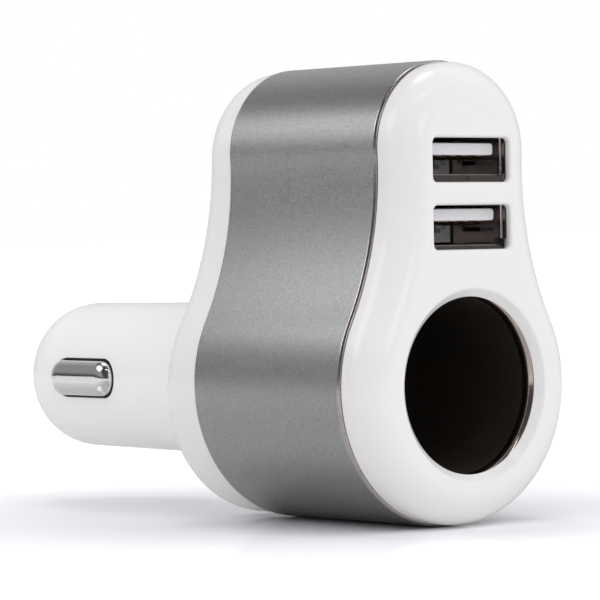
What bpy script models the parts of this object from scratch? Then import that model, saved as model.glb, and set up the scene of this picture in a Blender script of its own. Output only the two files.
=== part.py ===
"""Splitter for a car's lighter socket: a plug behind a pear-shaped housing with a socket and two USB ports.

Units are metres. The origin is on the plug's axis, where the axis meets the rear cover's back face. +Y points
to the plug's tip, the front face looks along -Y, and +Z is up, towards the USB ports. The socket shares the
plug's axis.
"""

import math

import bmesh
import bpy
from mathutils import Matrix, Vector

# Pear-shaped outline of the housing: two lobes joined by concave flanks
LOWER_R = 0.0179
UPPER_R = 0.0113
LOBE_RISE = 0.0295
FLANK_R = 0.0405

# Housing along its depth
FACE_Y = -0.0418
FRONT_SEAM_Y = -0.0362
REAR_SEAM_Y = -0.0079
BACK_SLOPE = 0.062
FRONT_ROUNDING = 0.0042
BACK_ROUNDING = 0.0035
SLEEVE_WALL = 0.0010
SLEEVE_CHAMFER = 0.0003
COVER_INSET = 0.0003
SPIGOT_INSET = 0.0013
CAVITY_INSET = 0.0026
CAVITY_ROUNDING = 0.0012
SPIGOT_LENGTH = 0.0030
PLATE = 0.0018
BACK_PLATE = 0.0020

# Clearances between pieces: the usual one, and the one under small flat parts
GAP = 0.0003
SEAT = 0.0001

# How far a cutter runs past what it cuts, and how far a joined shape sinks into its neighbour
OVERRUN = 0.0010
SINK = 0.0003

# Socket, coaxial with the plug
MOUTH_R = 0.0110
MOUTH_CHAMFER = 0.0010
COLLAR_R = 0.0139
COLLAR_BORE_R = 0.0127
COLLAR_END_Y = -0.0360
RIM_R = 0.0124
RIM_LIP_R = 0.0010
RIM_FRONT_Y = -0.0402
RIM_BACK_Y = -0.0389
WELL_R = 0.0124
WELL_BORE_R = 0.0115
WELL_FRONT_Y = -0.0386
WELL_END_Y = -0.0050
WELL_FLOOR = 0.0015
LINER_R = 0.0112
LINER_BORE_R = 0.0107
LINER_TAB_Y = -0.0134
LINER_TAB = (0.0020, 0.0006)
RIVET_R = 0.0034
RIVET_SHANK_R = 0.0010
RIVET_HEAD = 0.0006
WELL_REST_R = 0.0122
WELL_REST_BORE_R = 0.0108

# USB ports, one above the other
PORT_Z = {"upper": 0.02813, "lower": 0.01974}
WINDOW = (0.0130, 0.0055)
WINDOW_CORNER_R = 0.0007
SHELL = (0.0129, 0.0056)
SHELL_CORNER_R = 0.0006
SHELL_RISE = 0.00035
SHELL_LIP = (0.0135, 0.0062)
SHELL_WALL = 0.0003
SHELL_RECESS = 0.0015
SHELL_END_Y = -0.0265
WINDOW_PLATE = 0.0012
FINGER_SLOT = 0.0004
PORT_BLOCK = 0.0048
TONGUE = (0.0111, 0.00184)
TONGUE_RECESS = 0.0021
TONGUE_TOP = 0.00215
PIN_X = (-0.0035, -0.0010, 0.0010, 0.0035)
PIN = (0.0010, 0.0003)

# Boards
BOARD = 0.0012
USB_BOARD_Y = -0.0262
USB_BOARD_BOTTOM = 0.0130
USB_BOARD_INSET = 0.0015
MAIN_BOARD_Z = 0.0132
MAIN_BOARD_HALF = 0.0096
MAIN_BOARD_Y = (-0.0229, -0.0052)
POSTS = {"top": (0.0, 0.0344), "left": (-0.0088, 0.0144), "right": (0.0088, 0.0144)}
POST_R = 0.0020
PILOT_DEPTH = 0.0060
SCREW_R = 0.0008
SCREW_HEAD_R = 0.0017
RAIL_X = 0.0103
RAIL_HALF = 0.0015
RAIL_Y = (-0.0068, -0.0022)
RAIL_Z = (0.0117, 0.0159)

# Plug barrel
BARREL_ROOT_R = 0.0103
BARREL_END_R = 0.01005
BARREL_END_Y = 0.0345
NOSE_Y = 0.0416
NOSE_FLAT_R = 0.00475
NOSE_HOLE_R = 0.0029
NOSE_INNER_Y = 0.0381
ROOT_FILLET = 0.0010
BORE_R = 0.0086
BORE_STRAIGHT_Y = 0.0340
BORE_NOSE_R = 0.0062

# Side contacts, left and right in the barrel's wall
CONTACT_Y = 0.0258
SLOT = (0.0134, 0.0057)
CONTACT = (0.0129, 0.0053)
CONTACT_TOP_X = 0.0114
CONTACT_ROUNDING = 0.0013
CONTACT_FLANGE = (0.0142, 0.0066)
CONTACT_FLANGE_X = (0.0068, 0.0076)
CONTACT_PEG_R = 0.0010
CONTACT_PEG = 0.0008
SIDE_SPRING_R = 0.00155
SIDE_WIRE_R = 0.0002

# Tip contact, fuse and the tube that carries them
TIP_Y = 0.0452
TIP_STEM_R = 0.0026
TIP_FLANGE_R = 0.0040
TIP_FLANGE_Y = (0.0363, 0.0378)
CARRIER_R = 0.0036
CARRIER_BORE_R = 0.0030
CARRIER_HEAD_R = 0.0053
CARRIER_HEAD_BORE_R = 0.0044
CARRIER_HEAD_Y = 0.0315
CARRIER_END_Y = 0.0378
CARRIER_FLANGE_R = 0.0083
CARRIER_FLANGE_Y = (0.0004, 0.0016)
CARRIER_FLOOR_Y = 0.0034
GROUND_R = 0.00405
GROUND_WALL = 0.0003
GROUND_Y = (0.0160, 0.0306)
FUSE_Y = (0.0160, 0.0360)
FUSE_CAP_R = 0.0026
FUSE_CAP_LENGTH = 0.0050
FUSE_GLASS_R = 0.0023
FUSE_WALL = 0.0005
TIP_SPRING_R = 0.0022
TIP_WIRE_R = 0.0003
SPRING_SEAT_Y = (0.0037, 0.0047)
SPRING_SEAT_STUB_Y = -0.0008
LEAD_R = 0.0005

# Number of steps round the shapes
LOWER_STEPS = 24
UPPER_STEPS = 16
FLANK_STEPS = 4
LARGE_STEPS = 36
MEDIUM_STEPS = 20
SMALL_STEPS = 16
CORNER_STEPS = 3

# How a flat outline is turned to face along an axis
FACING = {
    "X": (math.pi / 2, 0.0, math.pi / 2),
    "Y": (math.pi / 2, 0.0, 0.0),
    "Z": (0.0, 0.0, 0.0),
}


def clear_scene():
    for obj in list(bpy.data.objects):
        bpy.data.objects.remove(obj, do_unlink=True)


def new_collection(name):
    collection = bpy.data.collections.new(name)
    bpy.context.scene.collection.children.link(collection)
    return collection


def make_material(name, colour, roughness, metallic=0.0):
    material = bpy.data.materials.new(name)
    material.use_nodes = True
    shader = material.node_tree.nodes["Principled BSDF"]
    shader.inputs["Base Color"].default_value = (*colour, 1.0)
    shader.inputs["Roughness"].default_value = roughness
    shader.inputs["Metallic"].default_value = metallic
    material.diffuse_color = (*colour, 1.0)
    return material


clear_scene()
PARTS = new_collection("socket_splitter")
CUTTERS = new_collection("cutters")

WHITE_PLASTIC = make_material("white_plastic", (0.90, 0.90, 0.91), 0.22)
SATIN_METAL = make_material("satin_metal", (0.42, 0.42, 0.43), 0.42, 1.0)
CHROME = make_material("chrome", (0.86, 0.86, 0.87), 0.08, 1.0)
DARK_METAL = make_material("dark_metal", (0.10, 0.09, 0.085), 0.35, 1.0)
STEEL = make_material("tinned_steel", (0.45, 0.43, 0.42), 0.30, 1.0)
SPRING_STEEL = make_material("spring_steel", (0.60, 0.60, 0.60), 0.25, 1.0)
BRASS = make_material("brass", (0.78, 0.58, 0.28), 0.30, 1.0)
BLACK_PLASTIC = make_material("black_plastic", (0.02, 0.02, 0.02), 0.45)
NYLON = make_material("white_nylon", (0.85, 0.85, 0.83), 0.40)
BOARD_GREEN = make_material("board_green", (0.02, 0.16, 0.07), 0.40)
COPPER = make_material("copper", (0.72, 0.30, 0.16), 0.30, 1.0)
CAN_METAL = make_material("can_metal", (0.70, 0.70, 0.72), 0.30, 1.0)
FERRITE = make_material("ferrite", (0.07, 0.07, 0.08), 0.70)
FUSE_GLASS = make_material("fuse_glass", (0.85, 0.90, 0.88), 0.05)
RED_LEAD = make_material("red_lead", (0.60, 0.03, 0.03), 0.45)
BLACK_LEAD = make_material("black_lead", (0.03, 0.03, 0.03), 0.45)
YELLOW_LEAD = make_material("yellow_lead", (0.70, 0.50, 0.04), 0.45)


# Outlines, as lists of points


def arc(x, z, radius, start, end, steps):
    """Points round a centre, with the first angle's point and without the last angle's."""
    points = []
    for i in range(steps):
        angle = start + (end - start) * i / steps
        points.append((x + radius * math.cos(angle), z + radius * math.sin(angle)))
    return points


def pear_outline(inset):
    """The housing's outline, drawn in from its largest size by inset. Each flank is tangent to both lobes."""
    to_lower = LOWER_R + FLANK_R
    to_upper = UPPER_R + FLANK_R
    z = (to_lower**2 - to_upper**2 + LOBE_RISE**2) / (2 * LOBE_RISE)
    x = math.sqrt(to_lower**2 - z**2)
    low = math.atan2(z, x)
    high = math.atan2(z - LOBE_RISE, x)
    flank = FLANK_R + inset
    points = arc(0, 0, LOWER_R - inset, math.pi - low, 2 * math.pi + low, LOWER_STEPS)
    points += arc(x, z, flank, math.pi + low, math.pi + high, FLANK_STEPS)
    points += arc(0, LOBE_RISE, UPPER_R - inset, high, math.pi - high, UPPER_STEPS)
    points += arc(-x, z, flank, -high, -low, FLANK_STEPS)
    return points


def rounded_rectangle(width, height, radius, steps=CORNER_STEPS):
    points = []
    x, z = width / 2 - radius, height / 2 - radius
    for i, corner in enumerate([(x, z), (-x, z), (-x, -z), (x, -z)]):
        start = i * math.pi / 2
        points += arc(*corner, radius, start, start + math.pi / 2, steps)
        points.append((corner[0] - radius * math.sin(start), corner[1] + radius * math.cos(start)))
    return points


def stadium(length, height):
    radius = height / 2
    x = length / 2 - radius
    half = SMALL_STEPS // 2
    right = arc(x, 0, radius, -math.pi / 2, math.pi / 2, half) + [(x, radius)]
    return right + [(-px, -pz) for px, pz in right]


# Objects


def add_part(obj, material, parent=None):
    obj.data.materials.clear()
    obj.data.materials.append(material)
    obj.parent = parent
    PARTS.objects.link(obj)
    return obj


def add_tool(obj, parent=None):
    """A shape that cuts or joins another piece and is no piece itself."""
    obj.parent = parent
    obj.hide_render = True
    obj.display_type = "WIRE"
    CUTTERS.objects.link(obj)
    return obj


def prism(name, outline, start, end, axis="Y", centre=(0.0, 0.0)):
    """A flat outline given a thickness along an axis, and placed by its centre across that axis."""
    middle = (start + end) / 2
    across, along = centre
    places = {"X": (middle, across, along), "Y": (across, middle, along), "Z": (across, along, middle)}
    curve = bpy.data.curves.new(name, "CURVE")
    curve.dimensions = "2D"
    curve.fill_mode = "BOTH"
    curve.extrude = abs(end - start) / 2
    spline = curve.splines.new("POLY")
    spline.points.add(len(outline) - 1)
    for point, (x, y) in zip(spline.points, outline):
        point.co = (x, y, 0, 1)
    spline.use_cyclic_u = True
    flat = bpy.data.objects.new(name, curve)
    bpy.context.scene.collection.objects.link(flat)
    mesh = bpy.data.meshes.new_from_object(flat.evaluated_get(bpy.context.evaluated_depsgraph_get()))
    bpy.data.objects.remove(flat, do_unlink=True)
    join_flat_faces(mesh)
    obj = bpy.data.objects.new(name, mesh)
    obj.location = places[axis]
    obj.rotation_euler = FACING[axis]
    return obj


def join_flat_faces(mesh):
    """Weld the caps to the walls and make each cap one face, so that its rim can be rounded evenly."""
    bm = bmesh.new()
    bm.from_mesh(mesh)
    bmesh.ops.remove_doubles(bm, verts=bm.verts, dist=1e-7)
    bmesh.ops.dissolve_limit(bm, angle_limit=math.radians(0.5), verts=bm.verts, edges=bm.edges)
    bmesh.ops.recalc_face_normals(bm, faces=bm.faces)
    bm.to_mesh(mesh)
    bm.free()
    mesh.shade_smooth()
    mesh.set_sharp_from_angle(angle=math.radians(30))


def box(name, low, high):
    """A block between two corners, with its origin at its centre."""
    bm = bmesh.new()
    size = Vector(high) - Vector(low)
    bmesh.ops.create_cube(bm, size=1.0, matrix=Matrix.Diagonal((*size, 1.0)))
    mesh = bpy.data.meshes.new(name)
    bm.to_mesh(mesh)
    bm.free()
    obj = bpy.data.objects.new(name, mesh)
    obj.location = (Vector(low) + Vector(high)) / 2
    return obj


def turned(name, profile, steps=LARGE_STEPS, ring=False, tilt=0.0):
    """A profile of (radius, y) turned about the plug's axis. It runs from the greatest y down the outer side,
    and a ring's profile closes on itself up the inner side."""
    mesh = bpy.data.meshes.new(name)
    edges = [(i, i + 1) for i in range(len(profile) - 1)]
    if ring:
        edges.append((len(profile) - 1, 0))
    mesh.from_pydata([(r, 0.0, y) for r, y in profile], edges, [])
    obj = bpy.data.objects.new(name, mesh)
    screw = obj.modifiers.new("turn", "SCREW")
    screw.axis = "Z"
    screw.steps = steps
    screw.render_steps = steps
    screw.use_merge_vertices = True
    screw.merge_threshold = 1e-6
    screw.use_smooth_shade = True
    obj.rotation_euler = (-math.pi / 2 + tilt, 0.0, 0.0)
    return obj


def rod(name, radius, start, end, steps=SMALL_STEPS):
    return turned(name, [(0, end), (radius, end), (radius, start), (0, start)], steps)


def tube(name, radius, bore, start, end, steps=LARGE_STEPS):
    return turned(name, [(radius, end), (radius, start), (bore, start), (bore, end)], steps, ring=True)


def place(obj, x=0.0, y=0.0, z=0.0):
    obj.location = (x, y, z)
    return obj


def combine(obj, tool, operation):
    modifier = obj.modifiers.new(f"{operation.lower()} {tool.name}", "BOOLEAN")
    modifier.operation = operation
    modifier.object = tool
    return obj


def cut(obj, tool, parent=None):
    return combine(obj, add_tool(tool, parent), "DIFFERENCE")


def join(obj, tool, parent=None):
    return combine(obj, add_tool(tool, parent), "UNION")


def round_rim(obj, side, width, segments):
    """Round the rim of a prism's cap: side is 1 for the cap at its own +Z end and -1 for the other."""
    group = obj.vertex_groups.new(name="rim")
    group.add([v.index for v in obj.data.vertices if v.co.z * side > 0], 1.0, "REPLACE")
    bevel = obj.modifiers.new("rim", "BEVEL")
    bevel.limit_method = "VGROUP"
    bevel.vertex_group = group.name
    bevel.width = width
    bevel.segments = segments
    return obj


def round_edges(obj, width, segments=1):
    bevel = obj.modifiers.new("edges", "BEVEL")
    bevel.limit_method = "ANGLE"
    bevel.angle_limit = math.radians(50)
    bevel.width = width
    bevel.segments = segments
    return obj


def lean(obj, slope):
    """Tilt a prism's rear cap so that it leans forward with height."""
    for vertex in obj.data.vertices:
        if vertex.co.z < 0:
            vertex.co.z += slope * vertex.co.y
    return obj


def wire(name, points, radius, smooth=False):
    """A round wire. A smooth one is drawn through a few points, and the other goes straight between them."""
    curve = bpy.data.curves.new(name, "CURVE")
    curve.dimensions = "3D"
    curve.bevel_depth = radius
    curve.bevel_resolution = 1
    curve.use_fill_caps = True
    if smooth:
        curve.resolution_u = 3
        spline = curve.splines.new("BEZIER")
        spline.bezier_points.add(len(points) - 1)
        for point, co in zip(spline.bezier_points, points):
            point.co = co
            point.handle_left_type = "AUTO"
            point.handle_right_type = "AUTO"
    else:
        spline = curve.splines.new("POLY")
        spline.points.add(len(points) - 1)
        for point, co in zip(spline.points, points):
            point.co = (*co, 1)
    return bpy.data.objects.new(name, curve)


def coil(name, radius, wire_r, turns, length, steps=10):
    """A helical spring that rises along its own +Z from its origin."""
    count = turns * steps
    points = []
    for i in range(count + 1):
        angle = 2 * math.pi * i / steps
        points.append((radius * math.cos(angle), radius * math.sin(angle), length * i / count))
    return wire(name, points, wire_r)


# Housing


def front_cover():
    """White face plate with a rim, a spigot that enters the sleeve, the socket's collar and board posts."""
    rim_y = FRONT_SEAM_Y - GAP
    spigot_y = FRONT_SEAM_Y + SPIGOT_LENGTH
    plate_y = FACE_Y + PLATE
    cover = prism("front_cover", pear_outline(COVER_INSET), FACE_Y, rim_y)
    round_rim(cover, 1, FRONT_ROUNDING, 5)
    join(cover, prism("front_spigot", pear_outline(SPIGOT_INSET), rim_y - OVERRUN, spigot_y))
    hollow = prism("front_hollow", pear_outline(CAVITY_INSET), plate_y, spigot_y + OVERRUN)
    cut(cover, round_rim(hollow, 1, CAVITY_ROUNDING, 2))
    board_posts(cover)
    join(cover, tube("socket_collar", COLLAR_R, MOUTH_R - OVERRUN, plate_y - SINK, COLLAR_END_Y))
    cut_mouth(cover)
    cut_windows(cover)
    add_part(cover, WHITE_PLASTIC)


def board_posts(cover):
    """Three posts on the face plate, each with a pilot hole, that the upright board is screwed to."""
    for side, (x, z) in POSTS.items():
        post = rod(f"post_{side}", POST_R, FACE_Y + PLATE - SINK, SHELL_END_Y)
        pilot = rod(f"post_pilot_{side}", SCREW_R + GAP, SHELL_END_Y - PILOT_DEPTH, SHELL_END_Y + OVERRUN)
        cut(post, place(pilot, x, 0, z))
        join(cover, place(post, x, 0, z))


def cut_mouth(cover):
    """The socket's mouth: a chamfer in the face, a thin land, and the seat of the socket behind it."""
    land_y = FACE_Y + MOUTH_CHAMFER
    seat_y = land_y + GAP
    profile = [
        (0, COLLAR_END_Y + OVERRUN),
        (COLLAR_BORE_R, COLLAR_END_Y + OVERRUN),
        (COLLAR_BORE_R, seat_y),
        (MOUTH_R, seat_y),
        (MOUTH_R, land_y),
        (MOUTH_R + MOUTH_CHAMFER + OVERRUN, FACE_Y - OVERRUN),
        (0, FACE_Y - OVERRUN),
    ]
    cut(cover, turned("socket_mouth", profile))


def cut_windows(cover):
    """Two USB windows, and the pocket that thins the plate behind them and takes the shells' lips."""
    half_x, half_z = SHELL_LIP[0] / 2 + GAP, SHELL_LIP[1] / 2 + GAP
    low = (-half_x, FACE_Y + WINDOW_PLATE, PORT_Z["lower"] + SHELL_RISE - half_z)
    high = (half_x, FACE_Y + PLATE + OVERRUN, PORT_Z["upper"] + SHELL_RISE + half_z)
    cut(cover, box("usb_pocket", low, high))
    window = rounded_rectangle(*WINDOW, WINDOW_CORNER_R)
    for level, z in PORT_Z.items():
        cut(cover, prism(f"usb_window_{level}", window, FACE_Y - OVERRUN, FACE_Y + PLATE, centre=(0.0, z)))


def metal_sleeve():
    """Extruded metal band between the covers, with its outer edges chamfered."""
    sleeve = prism("metal_sleeve", pear_outline(0.0), FRONT_SEAM_Y, REAR_SEAM_Y)
    round_edges(sleeve, SLEEVE_CHAMFER)
    bore = prism("sleeve_bore", pear_outline(SLEEVE_WALL), FRONT_SEAM_Y - OVERRUN, REAR_SEAM_Y + OVERRUN)
    add_part(cut(sleeve, bore), SATIN_METAL)


def rear_cover():
    """White rear cover with its leaning back face, in one moulding with the hollow plug barrel."""
    rim_y = REAR_SEAM_Y + GAP
    spigot_y = REAR_SEAM_Y - SPIGOT_LENGTH
    cover = lean(prism("rear_cover", pear_outline(COVER_INSET), rim_y, 0.0), BACK_SLOPE)
    round_rim(cover, -1, BACK_ROUNDING, 4)
    join(cover, root_fillet())
    join(cover, turned("barrel", barrel_profile()))
    join(cover, prism("rear_spigot", pear_outline(SPIGOT_INSET), spigot_y, rim_y + OVERRUN))
    hollow = prism("rear_hollow", pear_outline(CAVITY_INSET), spigot_y - OVERRUN, -BACK_PLATE)
    cut(cover, round_rim(lean(hollow, BACK_SLOPE), -1, CAVITY_ROUNDING, 2))
    join(cover, well_rest())
    board_rails(cover)
    cut(cover, turned("barrel_bore", bore_profile()))
    reach = BARREL_ROOT_R + OVERRUN
    cut(cover, prism("contact_slots", stadium(*SLOT), -reach, reach, "X", (CONTACT_Y, 0.0)))
    add_part(cover, WHITE_PLASTIC)


def board_rails(cover):
    """Two rails on the rear cover's inner face, with the slot that holds the main board's rear edge."""
    for side, x in {"left": -RAIL_X, "right": RAIL_X}.items():
        low, high = (x - RAIL_HALF, RAIL_Y[0], RAIL_Z[0]), (x + RAIL_HALF, RAIL_Y[1], RAIL_Z[1])
        join(cover, box(f"board_rail_{side}", low, high))
    slot = MAIN_BOARD_HALF + GAP
    low = (-slot, RAIL_Y[0] - OVERRUN, MAIN_BOARD_Z - GAP)
    cut(cover, box("board_slot", low, (slot, MAIN_BOARD_Y[1] + GAP, MAIN_BOARD_Z + BOARD + GAP)))


def nose_arc():
    """The domed nose, from its flat end back to the straight barrel, as a quarter of an ellipse."""
    steps = 7
    points = []
    for i in range(steps + 1):
        angle = math.pi / 2 * (1 - i / steps)
        radius = NOSE_FLAT_R + (BARREL_END_R - NOSE_FLAT_R) * math.cos(angle)
        points.append((radius, BARREL_END_Y + (NOSE_Y - BARREL_END_Y) * math.sin(angle)))
    return points


def barrel_profile():
    inside = -BACK_PLATE + SINK
    return [(0, NOSE_Y)] + nose_arc() + [(BARREL_ROOT_R, 0.0), (BARREL_ROOT_R, inside), (0, inside)]


def bore_profile():
    """The barrel's inside: a straight bore, a taper into the nose, a shoulder and the hole for the tip."""
    start = -BACK_PLATE - 2 * OVERRUN
    return [
        (0, NOSE_Y + OVERRUN),
        (NOSE_HOLE_R, NOSE_Y + OVERRUN),
        (NOSE_HOLE_R, NOSE_INNER_Y),
        (BORE_NOSE_R, NOSE_INNER_Y),
        (BORE_R, BORE_STRAIGHT_Y),
        (BORE_R, start),
        (0, start),
    ]


def root_fillet():
    """The blend between the barrel and the leaning back face, turned about an axis square to that face."""
    steps = 3
    foot = BARREL_ROOT_R + ROOT_FILLET
    profile = [(0, ROOT_FILLET)]
    for i in range(steps + 1):
        angle = math.pi / 2 * i / steps
        profile.append((foot - ROOT_FILLET * math.cos(angle), ROOT_FILLET - ROOT_FILLET * math.sin(angle)))
    profile += [(foot, -OVERRUN), (0, -OVERRUN)]
    return turned("root_fillet", profile, tilt=math.atan(BACK_SLOPE))


def well_rest():
    """Ring on the rear cover's inner face that the socket well stands on, open at the top for the leads."""
    ring = tube("well_rest", WELL_REST_R, WELL_REST_BORE_R, WELL_END_Y + GAP, OVERRUN - BACK_PLATE)
    return cut(ring, box("lead_notch", (-0.0055, -0.0060, 0.0080), (0.0055, -0.0026, 0.0140)))


# Socket


def socket_rim():
    """Bright rolled lip of the socket, which shows just inside the mouth."""
    lip = RIM_LIP_R
    centre = (MOUTH_R + lip - 0.00005, RIM_FRONT_Y + lip)
    tuck = math.asin((RIM_BACK_Y - centre[1]) / lip)
    inner = arc(*centre, lip, -math.pi / 2, -math.pi - tuck, 2 * CORNER_STEPS)
    inner.append((centre[0] - lip * math.cos(tuck), RIM_BACK_Y))
    profile = [(RIM_R, RIM_BACK_Y), (RIM_R, RIM_FRONT_Y)] + inner
    add_part(turned("socket_rim", profile, ring=True), CHROME)


def socket_well():
    """Black insulating cup round the socket, with a slot for the liner's tab and a hole for the rivet."""
    floor_y = WELL_END_Y - WELL_FLOOR
    bore = RIVET_SHANK_R + GAP
    profile = [
        (WELL_R, WELL_END_Y),
        (WELL_R, WELL_FRONT_Y),
        (WELL_BORE_R, WELL_FRONT_Y),
        (WELL_BORE_R, floor_y),
        (bore, floor_y),
        (bore, WELL_END_Y),
    ]
    well = turned("socket_well", profile, ring=True)
    cut(well, tab_box("well_tab_slot", GAP, WELL_BORE_R - OVERRUN, WELL_R + OVERRUN))
    add_part(well, BLACK_PLASTIC)


def tab_box(name, clearance, bottom, top):
    half, depth = LINER_TAB[0] / 2 + clearance, LINER_TAB[1] / 2 + clearance
    return box(name, (-half, LINER_TAB_Y - depth, bottom), (half, LINER_TAB_Y + depth, top))


def socket_liner():
    """Metal tube that grips the plug in the socket, with a tab up to the main board."""
    liner = tube("socket_liner", LINER_R, LINER_BORE_R, WELL_FRONT_Y + SEAT, WELL_END_Y - WELL_FLOOR - GAP)
    join(liner, tab_box("liner_tab", 0.0, LINER_R - SINK, MAIN_BOARD_Z + BOARD + LINER_TAB[1]))
    add_part(liner, DARK_METAL)


def socket_centre_contact():
    """Dished rivet at the bottom of the socket."""
    floor_y = WELL_END_Y - WELL_FLOOR - GAP
    profile = [
        (0, WELL_END_Y + RIVET_HEAD),
        (RIVET_SHANK_R, WELL_END_Y + RIVET_HEAD),
        (RIVET_SHANK_R, floor_y),
        (RIVET_R, floor_y),
        (RIVET_R, floor_y - RIVET_HEAD),
        (0.7 * RIVET_R, floor_y - 2.0 * RIVET_HEAD),
        (0.5 * RIVET_R, floor_y - 3.3 * RIVET_HEAD),
        (0, floor_y - 3.6 * RIVET_HEAD),
    ]
    add_part(turned("socket_centre_contact", profile, SMALL_STEPS), BRASS)


# USB ports and boards


def usb_port(level, z):
    """One USB socket: folded shell, insulator with a tongue, and four pins. Its empty is at its centre."""
    port = bpy.data.objects.new(f"usb_port_{level}", None)
    port.location = (0.0, 0.0, z)
    PARTS.objects.link(port)
    usb_shell(level, port)
    usb_tongue(level, port)
    for i, x in enumerate(PIN_X, 1):
        low, high = pin_corners(x, 0.0)
        add_part(box(f"usb_pin_{level}_{i}", low, high), BRASS, port)


def pin_corners(x, clearance):
    top = TONGUE_TOP - TONGUE[1] - SEAT
    start = FACE_Y + TONGUE_RECESS + PIN[0] / 2
    end = USB_BOARD_Y + BOARD + 2 * PIN[1]
    low = (x - PIN[0] / 2 - clearance, start, top - PIN[1] - clearance)
    return low, (x + PIN[0] / 2 + clearance, end, top + clearance)


def usb_shell(level, port):
    """Folded sheet tube with a lip round its mouth, a spring finger in each side and two above and below."""
    front = FACE_Y + SHELL_RECESS
    middle = (0.0, SHELL_RISE)
    outline = rounded_rectangle(*SHELL, SHELL_CORNER_R)
    shell = prism(f"usb_shell_{level}", outline, front + SHELL_WALL / 2, SHELL_END_Y, centre=middle)
    lip = rounded_rectangle(*SHELL_LIP, SHELL_CORNER_R)
    join(shell, prism(f"shell_lip_{level}", lip, front, front + SHELL_WALL, centre=middle), port)
    width, height = SHELL[0] - 2 * SHELL_WALL, SHELL[1] - 2 * SHELL_WALL
    inside = rounded_rectangle(width, height, SHELL_CORNER_R - SHELL_WALL, 1)
    start, end = front - OVERRUN, SHELL_END_Y + OVERRUN
    cut(shell, prism(f"shell_bore_{level}", inside, start, end, centre=middle), port)
    reach = SHELL[1] / 2 + OVERRUN
    for side, x in {"left": -0.0029, "right": 0.0029}.items():
        finger = finger_outline(0.0023, 0.0058)
        cut(shell, prism(f"finger_{side}_{level}", finger, -reach, reach, "Z", (x, front + 0.0016)), port)
    reach = SHELL[0] / 2 + OVERRUN
    finger = [(y, x) for x, y in reversed(finger_outline(0.0009, 0.0050))]
    cut(shell, prism(f"finger_sides_{level}", finger, -reach, reach, "X", (front + 0.0011, -0.0010)), port)
    add_part(shell, STEEL, port)


def finger_outline(width, length):
    """The U-shaped slot round a spring finger, which is rooted at the front and free at the back."""
    inner = width / 2
    outer = inner + FINGER_SLOT
    left = [(-inner, 0.0), (-inner, length - FINGER_SLOT), (inner, length - FINGER_SLOT), (inner, 0.0)]
    return left + [(outer, 0.0), (outer, length), (-outer, length), (-outer, 0.0)]


def usb_tongue(level, port):
    """White insulator: a block that fills the shell's back, and the tongue that carries the pins."""
    block_y = SHELL_END_Y - PORT_BLOCK
    half_x, half_z = SHELL[0] / 2 - SHELL_WALL - GAP, SHELL[1] / 2 - SHELL_WALL - GAP
    low, high = (-half_x, block_y, SHELL_RISE - half_z), (half_x, SHELL_END_Y, SHELL_RISE + half_z)
    insulator = box(f"usb_tongue_{level}", low, high)
    low = (-TONGUE[0] / 2, FACE_Y + TONGUE_RECESS, TONGUE_TOP - TONGUE[1])
    tongue = box(f"tongue_{level}", low, (TONGUE[0] / 2, block_y + OVERRUN, TONGUE_TOP))
    join(insulator, round_edges(tongue, 0.0002), port)
    for i, x in enumerate(PIN_X, 1):
        cut(insulator, box(f"pin_channel_{level}_{i}", *pin_corners(x, SEAT)), port)
    add_part(insulator, NYLON, port)


def usb_board():
    """Upright board behind the ports, with the housing's outline above the socket."""
    before, behind = USB_BOARD_Y - OVERRUN, USB_BOARD_Y + BOARD + OVERRUN
    board = prism("usb_board", pear_outline(USB_BOARD_INSET), USB_BOARD_Y, USB_BOARD_Y + BOARD)
    reach = LOWER_R + OVERRUN
    cut(board, box("board_bottom", (-reach, before, -reach), (reach, behind, USB_BOARD_BOTTOM)))
    for side, (x, z) in POSTS.items():
        cut(board, place(rod(f"board_hole_{side}", SCREW_R + GAP, before, behind), x, 0, z))
    for level, z in PORT_Z.items():
        for i, x in enumerate(PIN_X, 1):
            slot = box(f"pin_hole_{level}_{i}", *pin_corners(x, SEAT))
            slot.location.z += z
            cut(board, slot)
    add_part(board, BOARD_GREEN)


def board_screws():
    """Three screws hold the upright board on the front cover's posts."""
    seat_y = USB_BOARD_Y + BOARD + GAP
    edge_y, top_y = seat_y + 0.0007, seat_y + 0.0011
    point_y = SHELL_END_Y - PILOT_DEPTH + OVERRUN
    for side, (x, z) in POSTS.items():
        profile = [
            (0, top_y),
            (0.7 * SCREW_HEAD_R, top_y),
            (SCREW_HEAD_R, edge_y),
            (SCREW_HEAD_R, seat_y),
            (SCREW_R, seat_y),
            (SCREW_R, point_y + SCREW_R),
            (0, point_y),
        ]
        add_part(place(turned(f"board_screw_{side}", profile, SMALL_STEPS), x, 0, z), STEEL)


def main_board():
    """Level board over the socket well, with the parts of the voltage converter."""
    low = (-MAIN_BOARD_HALF, MAIN_BOARD_Y[0], MAIN_BOARD_Z)
    board = box("main_board", low, (MAIN_BOARD_HALF, MAIN_BOARD_Y[1], MAIN_BOARD_Z + BOARD))
    cut(board, tab_box("board_tab_slot", GAP, MAIN_BOARD_Z - OVERRUN, MAIN_BOARD_Z + BOARD + OVERRUN))
    add_part(board, BOARD_GREEN)
    top = MAIN_BOARD_Z + BOARD + SEAT
    inductor(-0.0050, -0.0175, top)
    capacitor("input_capacitor", 0.0050, -0.0180, top, 0.0040, 0.0100)
    capacitor("output_capacitor", 0.0055, -0.0096, top, 0.0031, 0.0080)
    regulator_chip(-0.0052, -0.0090, top)
    diode = box("diode", (-0.0010, -0.0205, top), (0.0002, -0.0165, top + 0.0016))
    add_part(round_edges(diode, 0.0002), BLACK_PLASTIC)
    header = box("board_header", (-0.0040, USB_BOARD_Y + BOARD + SEAT, top), (0.0040, -0.0224, top + 0.0022))
    add_part(header, BLACK_PLASTIC)


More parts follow.
